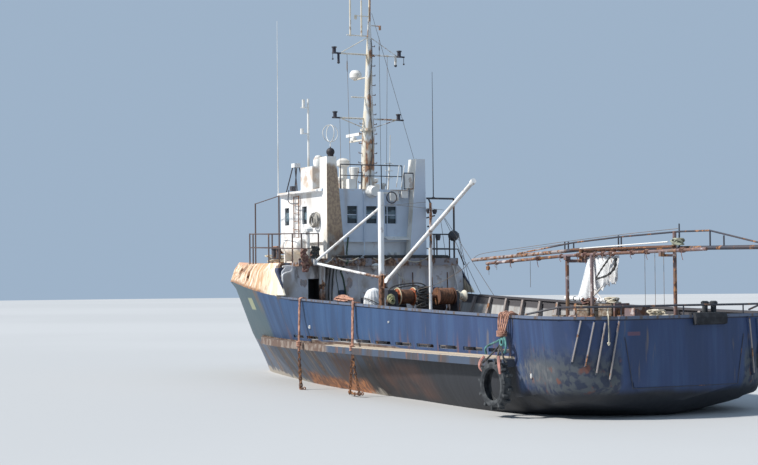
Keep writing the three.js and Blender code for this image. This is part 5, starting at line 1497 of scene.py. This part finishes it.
# %% Gearbox, motors, pipes and net
MOTORS = [
    # distance to port, and the turned profile across the ship
    (0.75, [(0, -0.33), (0.15, -0.33), (0.16, -0.28), (0.16, 0.2), (0.11, 0.3), (0, 0.3)]),
    (-0.85, [(0, -0.28), (0.15, -0.28), (0.16, -0.2), (0.16, 0.22), (0.11, 0.3), (0, 0.3)]),
]
BOX_S, BOX_Y = 14.29, -0.29
COVER_PROFILE = [(0, 0), (0.17, 0), (0.17, 0.05), (0.10, 0.09), (0, 0.09)]
BOLT_PROFILE = [(0, 0), (0.014, 0), (0.014, 0.02), (0, 0.02)]
OIL_PIPES = [
    [(14.42, 1.0, 2.7), (14.34, 0.95, 3.25), (14.28, 0.45, 3.42), (14.28, -0.1, 3.40), (14.38, -0.3, 3.1)],
    [(14.46, 1.06, 2.7), (14.40, 1.0, 3.32), (14.36, 0.4, 3.50), (14.34, -0.3, 3.46), (14.42, -0.7, 2.9)],
]
SPAR_WIRE = [(14.15, 0.55, 3.20), (12.613, 0.20, 3.493), (11.398, -0.05, 3.961), (11.045, -0.12, 4.20)]


def winch_works():
    """Gearbox with a round cover, two motors, oil pipes, a coil, a net and the wire to the spar."""
    works = [box(at(14.10, -0.50, 2.5), at(14.48, -0.08, 3.2)),
             turned(at(BOX_S, BOX_Y, 3.2), COVER_PROFILE, 20)]
    works += [turned(at(14.42, y, 2.72), profile, 20, 1) for y, profile in MOTORS]
    for a in np.arange(8) * math.pi / 4:
        s, y = BOX_S + 0.13 * math.cos(a), BOX_Y + 0.13 * math.sin(a)
        works.append(turned(at(s, y, 3.25), BOLT_PROFILE, 6))
    make_piece("winch_gearbox", works, dark_steel)
    make_piece("winch_pipes", [sweep(route(rows, 40), 0.022, 8) for rows in OIL_PIPES], dark_rope)
    coil = []
    for i in range(5):
        middle = at(13.66 - 0.03 * i, 1.36 + 0.02 * (i % 2), 3.02 - 0.025 * i)
        coil.append(rope(ring_line(middle, 0.13 - 0.014 * i, 1.0, 25, 0), 0.022))
    make_piece("winch_coil", coil, weed_rope)
    net = [heap_line(at(13.62, 0.17, 2.72 + 0.22 * i), (0.12, 0.24, 0.24), 9, 190, 60 + i) for i in range(3)]
    make_piece("winch_net", [rope(line, 0.024, sides=6) for line in net], dark_rope)
    make_piece("wire_to_spar", [sweep(route(SPAR_WIRE, 50), 0.009, 6)], wire_grey)


winch_works()

# %% [markdown]
# ## What hangs below the boat deck
#
# Hoses, a rod, a lamp and a pipe loop hang or stand against the bulkhead, and old net lies in
# lumps along the edge of the deck above. Each is a line through a few points that were read from
# the view, given its own thickness.

# %% Fittings round the bulkhead
HOSE = [(1.119, 5.163), (1.183, 4.633), (1.345, 4.28), (1.407, 3.998),
        (1.312, 3.645), (1.219, 3.045), (1.20, 2.4)]
CABLE = [(17.05, 1.50, 4.3), (17.20, 1.62, 3.9), (17.26, 1.50, 3.2), (17.28, 1.44, 2.2)]
PIPE_LOOP = [(3.672, 3.563), (3.678, 3.822), (3.574, 3.908), (3.364, 3.959),
             (3.306, 4.062), (3.381, 4.149), (3.686, 4.134)]
LAMP_SHADE = [(0.03, 0.08), (0.21, -0.02), (0.22, -0.02), (0.04, 0.11), (0, 0.11), (0, 0.08)]
AWNING = [(17.20, -0.46, 5.07), (17.20, -1.42, 5.07), (17.45, -1.42, 5.17), (17.45, -0.40, 5.17)]
SWITCH_BOXES = [
    # two corners of each: station, y, z
    ((17.26, 1.255, 3.10), (17.355, 1.435, 3.29)),
    ((17.24, -2.6, 2.9), (17.355, -2.3, 3.35)),
    ((17.28, 0.35, 2.75), (17.355, 0.55, 3.0)),
]


def boxes(corners):
    """A box for each pair of opposite corners, given as (station, y, z)."""
    return [box(at(*low), at(*high)) for low, high in corners]


def hose_station(z):
    """The hose stands off the wall where it passes the deck edge."""
    return 17.22 if z > 4.4 else 16.86 if z > 4.1 else 17.24


def below_boat_deck():
    """Hose and cable, pipes and a pole, the aft lamps, switch boxes and a shelf."""
    hose = route([(hose_station(z), y, z) for y, z in HOSE], 60)
    make_piece("bulkhead_hose", [sweep(hose, 0.032, 10), sweep(route(CABLE, 40), 0.016, 8)], hose_green)
    pale = [sweep(route([(17.22, y, z) for y, z in PIPE_LOOP], 50), 0.028, 10),
            sweep(np.linspace(at(13.2, 0.10, 1.66), at(13.2, 0.10, 4.70), 12), 0.05, 12),
            bar(at(17.0, 0.842, 4.135), at(17.0, 0.814, 2.97), 0.012, 6)]
    for y, top, radius in ((2.02, 3.6, 0.02), (-0.95, 4.1, 0.025), (-1.10, 4.1, 0.018)):
        pale.append(bar(at(17.28, y, 1.70), at(17.28, y, top), radius, 8))
    make_piece("bulkhead_pipes", pale, spar_white)
    lamp = [ball(at(17.0, 0.186, 4.12), 0.12, 16), turned(at(17.0, 0.186, 4.17), LAMP_SHADE, 20),
            bar(at(17.0, 0.186, 4.26), at(16.95, 0.15, 4.40), 0.016, 6)]
    lamp += [box(at(17.42, y - 0.06, 4.45), at(17.56, y + 0.07, 4.62)) for y in (-0.762, -1.008)]
    lamp.append(plate([at(*corner) for corner in AWNING], [0, 0, 0.03]))
    make_piece("aft_lamps", lamp, gear_white)
    make_piece("switch_boxes", boxes(SWITCH_BOXES), navy_box)
    shelf = [bar(at(17.26, -3.0, z), at(17.26, -1.5, z), 0.022, 6) for z in (2.55, 3.05)]
    shelf += [bar(at(17.22, y, 1.66), at(17.26, y, 3.9), 0.025, 6) for y in (-2.95, -2.2, -1.5)]
    make_piece("bulkhead_shelf", shelf, rusty_steel)


below_boat_deck()

# %% Nets and lines at the deck edge
EDGE_NETS = [
    # distance to port, half width, loops and seed
    (1.2, 0.5, 10, 2), (0.2, 0.45, 9, 4), (-0.7, 0.5, 11, 6), (-1.7, 0.6, 10, 8), (-2.5, 0.4, 8, 10),
]
EDGE_LINES = [
    # distance to port, width and sag
    (0.9, 0.8, 0.12), (-0.4, 0.7, 0.09), (-1.9, 1.0, 0.16), (1.9, 0.7, 0.2),
]


def edge_nets():
    """Net and rope in flat lumps along the deck edge, and a red-brown bundle at the vent foot."""
    edge = [heap_line(at(16.99, y, 4.43), (0.07, wide, 0.07), loops, loops * 20, seed)
            for y, wide, loops, seed in EDGE_NETS]
    make_piece("edge_nets", [rope(line, 0.022, sides=6) for line in edge], dark_rope)
    over = [hanging_line(at(16.86, y, 4.44), at(16.86, y + wide, 4.42), sag, 24)
            for y, wide, sag in EDGE_LINES]
    make_piece("edge_lines", [rope(line, 0.016, sides=6) for line in over], pale_rope)
    bundle = [heap_line(at(16.83, 2.98 + 0.03 * i, 3.95 + 0.26 * i), (0.07, 0.13, 0.26), 8, 170, 20 + i)
              for i in range(3)]
    make_piece("net_bundle", [rope(line, 0.022, sides=6) for line in bundle], net_brown)
    clumps = [heap_line(at(16.97, 2.55, 4.42 + 0.2 * i), (0.06, 0.16, 0.2), 7, 140, 50 + i) for i in range(2)]
    dark = [rope(line, 0.024, sides=6) for line in clumps]
    for y in (2.02, 1.88, 1.75):
        rows = [(16.98, y, 4.4), (17.2, y - 0.03, 4.0), (17.27, y, 3.3), (17.27, y + 0.02, 1.9)]
        dark.append(sweep(route(rows, 30), 0.03, 8))
    make_piece("tower_foot_lines", dark, dark_rope)
    line = hanging_line(at(17.05, -0.353, 4.323), at(16.5, -1.0, 3.374), 0.05, 12)
    make_piece("bulkhead_rope", [rope(line, 0.014, sides=6)], pale_rope)


edge_nets()

# %% [markdown]
# ## The house: ladder, coil, rims, window frames and roof gear
#
# The house is a welded box, and most of what hangs on it is tube and flat bar: a ladder, a
# gutter, frames and sash bars on the windows, a coil of hose on its hook, and the lamps and cowls
# of the roof.

# %% Fittings of the house
WINDOWS_AFT = [
    # y and z of the low corner, y and z of the high corner
    ((0.63, 5.66), (1.04, 6.28)),
    ((-0.16, 5.66), (0.28, 6.28)),
    ((-0.95, 5.66), (-0.48, 6.28)),
]
GUTTER = [(17.75, 2.07), (20.4, 2.07), (20.8, 2.05), (21.25, 1.9), (21.55, 1.62)]


def frame_bars(low, high, s, width):
    """Four flat bars round a window in the aft wall, and a sash bar across its middle."""
    (y0, z0), (y1, z1) = low, high
    mid = (z0 + z1) / 2
    return [box(at(s - 0.02, y0 - width, z0 - width), at(s, y1 + width, z0)),
            box(at(s - 0.02, y0 - width, z1), at(s, y1 + width, z1 + width)),
            box(at(s - 0.02, y0 - width, z0), at(s, y0, z1)),
            box(at(s - 0.02, y1, z0), at(s, y1 + width, z1)),
            box(at(s + 0.03, y0, mid - 0.015), at(s + 0.05, y1, mid + 0.015))]


def house_fittings():
    """A ladder on the port wall, a coil of hose, gutters, window bars and two pipes."""
    ladder = [bar(at(s, 1.96, 4.45), at(s, 1.96, 6.72), 0.022, 8) for s in (19.93, 19.52)]
    ladder += [bar(at(19.52, 1.96, z), at(19.93, 1.96, z), 0.014, 6) for z in np.arange(4.6, 6.7, 0.3)]
    make_piece("house_ladder", ladder, rusty_steel)
    coil = []
    for i in range(6):
        middle = at(18.104, 1.94 + 0.035 * i, 5.815 - 0.01 * i)
        coil.append(rope(ring_line(middle, 0.25 - 0.03 * (i % 3), 1.0, 33, 1), 0.026))
    make_piece("house_coil", coil, hose_grey)
    trim = [sweep(route([(s, side * y, 6.83) for s, y in GUTTER], 40), 0.045, 10) for side in (1, -1)]
    for low, high in WINDOWS_AFT:
        trim += frame_bars(low, high, 17.455, 0.035)
    trim += [box(at(17.44, -1.3, 6.42), at(17.46, 1.1, 6.45)),
             bar(at(17.42, 0.37, 4.5), at(17.42, 0.37, 6.8), 0.02, 8),
             bar(at(17.42, -0.56, 5.2), at(17.42, -0.56, 6.8), 0.016, 8)]
    make_piece("house_trim", trim, house_white)


house_fittings()

# %% Cowls, pole and boxes of the roof
ROOF_Z = 6.895
COWL = [(0, 0), (0.10, 0), (0.10, 0.30), (0.13, 0.42), (0.17, 0.62),
        (0.19, 0.78), (0.17, 0.80), (0.10, 0.55), (0, 0.55)]
VENTS = [
    # station, y, profile and sides
    (18.25, 0.92, [(0, 0), (0.07, 0), (0.07, 0.3), (0.14, 0.34), (0.14, 0.42), (0, 0.48)], 20),
    (17.75, -0.60, [(0, 0), (0.06, 0), (0.06, 0.12), (0.10, 0.14), (0.10, 0.22), (0, 0.26)], 20),
    (19.5, -1.1, [(0, 0), (0.12, 0), (0.12, 0.35), (0.2, 0.38), (0.2, 0.5), (0, 0.55)], 24),
]
ROOF_BOXES = [
    # two corners of each: station, y, z
    ((18.6, -0.9, ROOF_Z), (19.1, -0.3, 7.15)),
    ((17.62, 0.58, ROOF_Z), (17.85, 0.86, 7.25)),
]
STAND_LEG = [(19.95, 6.95), (20.00, 6.70), (19.99, 6.54), (19.73, 6.44), (19.20, 6.43)]


def roof_gear():
    """A cowl, a pole with three arms, vents and boxes; a lamp box on the starboard tower."""
    pole = bars([((17.9, -0.87, ROOF_Z), (17.9, -0.95, 7.9))], 0.032)
    pole += bars([((17.9, -0.95, 7.9), (17.9, -0.98, 8.9))], 0.012, 6)
    for z, wide in ((7.35, 0.16), (7.6, 0.14), (7.86, 0.18)):
        pole.append(bar(at(17.9, -0.92 - wide, z), at(17.9, -0.92 + wide, z), 0.014, 6))
    small = [turned(at(s, y, ROOF_Z), profile, sides) for s, y, profile, sides in VENTS]
    cowl = [turned(at(18.0, 0.46, ROOF_Z), COWL, 24)]
    make_piece("roof_fittings", cowl + pole + small + boxes(ROOF_BOXES), gear_white)
    dark = [sweep(route([(s, 2.15, z) for s, z in STAND_LEG], 24), 0.018, 8),
            box(at(20.45, 1.62, 6.95), at(20.62, 1.80, 7.13))]
    dark += frame_bars((-1.43, 6.92), (-1.10, 7.45), 17.09, 0.04)[:4]
    dark.append(sweep(ring_line(at(17.06, -0.56, 6.58), 0.20, count=33, axis=0), 0.022, 8))
    make_piece("stand_legs", dark, dark_steel)
    pale = [box(at(17.045, -1.42, 6.93), at(17.075, -1.11, 7.44))]
    for half in (-0.5, 0.5):
        foot, head = at(17.08, -0.86 + 0.20 * half, 6.95), at(17.08, -1.00 + 0.22 * half, 7.75)
        pale.append(bar(foot, head, 0.014, 6))
    make_piece("tower_lamp_box", pale, gear_white)


roof_gear()

# %% [markdown]
# ## Lines of the starboard frame and the spars
#
# The frame on the starboard side carries a dark ball, two small lamps and a fan of thin lines
# down to the bulwark. Over the working deck a second wire runs above the long spar, with short
# struts in pairs, lashings round the pipe, and loose ends that hang straight down.

# %% Bars, lamps and lines of the frame
FRAME_LINES = [
    # foot and head: station, y, z
    ((16.9, -3.80, 2.98), (17.0, -3.295, 5.32)),
    ((16.2, -3.80, 2.96), (17.0, -2.684, 5.86)),
    ((17.2, -3.80, 3.00), (17.0, -3.28, 5.32)),
    ((15.3, -3.80, 2.93), (16.95, -2.684, 5.86)),
    ((17.3, -2.93, 4.42), (17.3, -2.731, 5.73)),
]
FRAME_BARS = [
    # foot and head, radius and sides
    ((17.0, -2.03, 4.735), (17.0, -3.254, 4.735), 0.022, 6),
    ((17.0, -3.254, 4.735), (17.0, -3.528, 4.15), 0.022, 6),
    ((17.02, -2.0, 5.55), (17.02, -2.16, 5.55), 0.03, 8),
    ((17.0, -1.95, 5.86), (17.0, -2.3, 5.95), 0.025, 8),
]
SMALL_LAMP = [(0, 0), (0.05, 0), (0.09, 0.10), (0.09, 0.16), (0, 0.18)]
LARGE_LAMP = [(0, 0), (0.07, 0), (0.10, 0.12), (0.10, 0.2), (0, 0.22)]


def frame_gear():
    """Bars and lamps of the frame, a pale stay and a fan of thin lines."""
    dark = [bar(at(*foot), at(*head), radius, sides) for foot, head, radius, sides in FRAME_BARS]
    dark += [turned(at(16.98, -2.02, 6.02), SMALL_LAMP, 16), turned(at(16.98, -2.28, 6.0), SMALL_LAMP, 16),
             turned(at(17.0, -2.42, 5.05), LARGE_LAMP, 16)]
    make_piece("frame_bars", dark, dark_steel)
    make_piece("frame_stay", bars([((17.3, -3.177, 4.4), (17.3, -3.464, 3.05))], 0.02, 6), spar_white)
    make_piece("frame_lines", bars(FRAME_LINES, 0.009, 5), wire_grey)


frame_gear()

# %% Wires, struts and lashings of the spars
LOOSE_ENDS = [
    # station, y, top and foot of each
    (1.69, 0.0, 4.39, 2.83), (1.25, 0.0, 4.39, 2.92), (0.87, 0.0, 4.39, 2.73), (9.19, 0.30, 4.11, 3.77),
    (8.67, 0.34, 4.12, 3.92), (7.88, 0.36, 4.14, 4.00), (6.74, 0.38, 4.17, 3.39),
]
STRUTS = [
    # station, foot, head
    (5.65, 4.47, 4.72), (5.47, 4.47, 4.72), (3.03, 4.48, 4.84), (-1.44, 4.43, 4.72),
]
UPPER_WIRE = [(10.88, 4.27), (10.27, 4.45), (8.22, 4.58), (5.59, 4.73), (2.91, 4.86), (0.40, 4.95)]
PIPE_LINE = [(-1.509, 0.500, 4.373), (4.687, 0.430, 4.304), (9.24, 0.350, 4.129)]
LASHED = (8.6, 7.7, 6.2, 5.0, 4.1, 3.75, 3.3, 2.9, 2.5, 1.6, 0.9, -0.6)
SHEAVE = [(0, -0.03), (0.07, -0.03), (0.075, 0), (0.07, 0.03), (0, 0.03)]


def pipe_place(s):
    """Distance to port and height of the pipe's middle at a station."""
    stations, ports, heights = zip(*PIPE_LINE)
    return np.interp(s, stations, ports), np.interp(s, stations, heights)


def spar_gear():
    """Wires, struts, a pole and bundles on the truss; lashings, bars and a pulley on the pipe."""
    low = [(s, -0.12, z - 0.03 - 0.16 * math.sin(s * 1.2) ** 2) for s, z in UPPER_WIRE[2:]]
    lines = [sweep(route([(s, -0.12, z) for s, z in UPPER_WIRE], 80), 0.008, 5),
             sweep(route(low, 50), 0.007, 5)]
    lines += [bar(at(s, y, foot), at(s, y, top), 0.007, 5) for s, y, top, foot in LOOSE_ENDS]
    make_piece("spar_wires", lines, wire_grey)
    struts = [bar(at(s, -0.12, foot), at(s, -0.12, head), 0.022, 6) for s, foot, head in STRUTS]
    struts.append(bar(at(0.35, -0.12, 4.87), at(0.35, -0.12, 5.08), 0.02, 6))
    make_piece("spar_struts", struts, dark_steel)
    make_piece("spar_pole", bars([((4.432, 0.20, 4.50), (0.40, 0.22, 4.60))], 0.018), gear_white)
    lump = heap_line(at(0.13, 0.10, 4.52), (0.20, 0.10, 0.15), 9, 190, 71)
    make_piece("spar_bundle_end", [rope(lump, 0.026, sides=7)], bundle_green)
    lash = []
    for i, s in enumerate(LASHED):
        y, z = pipe_place(s)
        for k in range(3 + i % 3):
            ring = ring_line(at(s + 0.035 * k, y, z), 0.056 + 0.005 * (k % 2), count=17, axis=0)
            lash.append(rope(ring, 0.012, sides=6))
        tail = [(s, y + 0.05, z), (s + 0.02, y + 0.075, z - 0.10),
                (s - 0.02, y + 0.06, z - 0.16 - 0.05 * (i % 3))]
        lash.append(rope(route(tail, 14), 0.009, sides=6))
    make_piece("pipe_lashings", lash, net_brown)
    bundle = []
    for k in range(3):
        start = at(4.9, 0.10 + 0.06 * k, 4.47 + 0.02 * (k % 2))
        end = at(0.2, 0.12 + 0.06 * k, 4.46 + 0.03 * (k % 2))
        bundle.append(sweep(np.linspace(start, end, 12), 0.02, 6))
    bundle += [bar(at(2.2 + 0.5 * k, -0.15, 4.40), at(2.25 + 0.5 * k, 0.52, 4.43), 0.018, 6)
               for k in range(4)]
    make_piece("spar_bundle", bundle, rusty_steel)
    cross = [((3.60, 0.42, 3.42), (3.06, 0.42, 3.04)), ((3.60, 0.44, 3.06), (3.02, 0.44, 3.44))]
    make_piece("cross_bars", bars(cross, 0.02, 6), spar_white)
    block = [turned(at(9.163, 0.35, 3.99), SHEAVE, 20, 1),
             bar(at(9.163, 0.35, 4.02), at(9.163, 0.35, 4.12), 0.015, 6)]
    make_piece("pulley", block, rusty_steel)


spar_gear()

# %% [markdown]
# ## Things on deck
#
# A working deck is never empty of ship's gear: bollards to make fast to, crates and a steel box
# by the bulwark, and heaps of line. Bollards are turned posts with a lip. A crate is slats on
# corner posts, so the light passes between them.

# %% Bollards
BOLLARDS = [
    # station, distance from the middle line, deck height
    (20.2, 2.55, 4.42), (2.2, 3.1, 1.65), (10.2, 3.2, 1.65),
]


BOLLARD_PROFILE = [(0, 0), (0.09, 0), (0.08, 0.05), (0.08, 0.30), (0.105, 0.33), (0.105, 0.38), (0, 0.40)]


def bollards():
    """Two posts on a base plate, on both sides of the ship."""
    posts = []
    for s, y, z in BOLLARDS:
        for side in (-1, 1):
            posts.append(box(at(s - 0.36, side * y - 0.14, z), at(s + 0.36, side * y + 0.14, z + 0.03)))
            for shift in (-0.2, 0.2):
                posts.append(turned(at(s + shift, side * y, z + 0.03), BOLLARD_PROFILE, 20))
    make_piece("bollards", posts, dark_steel)


bollards()

# %% Crates and heaps of line
CRATES = [
    # two corners, station, y, z, and how many slats high
    ((9.70, -3.42, 1.66), (10.35, -2.85, 2.45), 4),
    ((7.2, -3.45, 1.66), (7.85, -2.9, 2.85), 6),
    ((8.4, -3.40, 1.66), (9.05, -2.88, 2.80), 6),
]
STERN_BOX = [
    # two corners of each part
    ((6.95, -3.42, 1.66), (7.02, -2.85, 2.86)),
    ((5.95, -3.45, 1.66), (6.45, -2.85, 2.75)),
    ((5.92, -3.48, 2.75), (6.48, -2.82, 2.80)),
    ((6.62, -3.4, 1.66), (6.90, -2.9, 2.50)),
]
DECK_PILES = [
    # piece, material, radius, then the middle, half sizes, loops, points and seed of each heap
    ("stern_rope_heaps", pale_rope, 0.026, [((5.2, -3.1, 2.45), (0.28, 0.2, 0.22), 10, 210, 35),
                                            ((4.75, -3.1, 2.30), (0.28, 0.2, 0.22), 10, 210, 36)]),
    ("crate_rope_heap", pale_rope, 0.024, [((7.5, -3.15, 2.87), (0.26, 0.2, 0.16), 9, 200, 31)]),
    ("crate_net_heap", net_brown, 0.02, [((8.72, -3.12, 2.82), (0.28, 0.2, 0.18), 10, 220, 33)]),
]


def crate(low, high, slats):
    """Corner posts and level slats on four sides, with a floor."""
    (x0, y0, z0), (x1, y1, z1) = low, high
    t = 0.02
    parts = [box((x, y, z0), (x + 0.05, y + 0.05, z1)) for x in (x0, x1 - 0.05) for y in (y0, y1 - 0.05)]
    tall = (z1 - z0) / slats
    for i in range(slats):
        a, b = z0 + i * tall + 0.012, z0 + (i + 1) * tall - 0.012
        parts += [box((x0, y0 - t, a), (x1, y0, b)), box((x0, y1, a), (x1, y1 + t, b)),
                  box((x0 - t, y0, a), (x0, y1, b)), box((x1, y0, a), (x1 + t, y1, b))]
    return parts + [box((x0, y0, z0), (x1, y1, z0 + t))]


def deck_gear():
    """Crates, a steel box and the heaps of line on and beside them."""
    wood = [part for low, high, slats in CRATES for part in crate(at(*low), at(*high), slats)]
    make_piece("crates", wood, crate_wood)
    make_piece("stern_box", boxes(STERN_BOX), pipe_rust)
    for name, material, radius, piles in DECK_PILES:
        lines = [heap_line(at(*middle), *facts) for middle, *facts in piles]
        make_piece(name, [rope(line, radius, sides=7) for line in lines], material)


deck_gear()

# %% [markdown]
# ## Floor and light
#
# The floor is plain and pale. It lies at the waterline, z = 0, and the hull goes on below it. The
# light came from port and a little ahead, high up: the port faces are bright and the stern is in
# shade. One broad sun and an even pale sky repeat that.

# %% Floor
FLOOR_RADIUS, FLOOR_SIDES = 260.0, 96
FLOOR_GREY, FLOOR_CLOUD = (0.47, 0.48, 0.49), (0.50, 0.51, 0.52)


def make_floor():
    """A flat disc: rings of points at growing distance from the middle."""
    ring = np.linspace(0, 2 * np.pi, FLOOR_SIDES, endpoint=False)
    radii = np.array([0.5, 20, 60, FLOOR_RADIUS])[:, None]
    points = np.stack([radii * np.cos(ring), radii * np.sin(ring), np.zeros((4, FLOOR_SIDES))], -1)
    faces = grid_faces(4, FLOOR_SIDES).tolist() + [list(range(FLOOR_SIDES))]
    mesh = bpy.data.meshes.new("floor")
    mesh.from_pydata(points.reshape(-1, 3).tolist(), [], faces)
    made = bpy.data.objects.new("floor", mesh)
    made.data.materials.append(plain_finish("floor_paint", FLOOR_GREY, FLOOR_CLOUD, 0.7, 0.02, depth=0.001))
    bpy.context.scene.collection.objects.link(made)


make_floor()
print("floor radius:", FLOOR_RADIUS)

# %% Sun and sky
SUN_FROM, SUN_POWER, SUN_DEGREES, SUN_COLOUR = (0.18, 0.71, 0.68), 5.0, 4, (1.0, 0.95, 0.88)
SKY_COLOUR, SKY_POWER = (0.52, 0.68, 0.88, 1), 0.66


def make_light():
    """A sun from port and a little ahead, and a pale sky of one colour."""
    sun = bpy.data.lights.new("sun", "SUN")
    sun.energy, sun.angle, sun.color = SUN_POWER, math.radians(SUN_DEGREES), SUN_COLOUR
    lamp = bpy.data.objects.new("sun", sun)
    lamp.rotation_euler = Vector(SUN_FROM).to_track_quat("Z", "Y").to_euler()
    bpy.context.scene.collection.objects.link(lamp)
    world = bpy.data.worlds.new("sky")
    world.use_nodes = True
    sky = world.node_tree.nodes["Background"]
    sky.inputs[0].default_value, sky.inputs[1].default_value = SKY_COLOUR, SKY_POWER
    bpy.context.scene.world = world


make_light()
bpy.context.scene.view_settings.view_transform = "Standard"
print("sun power:", SUN_POWER)
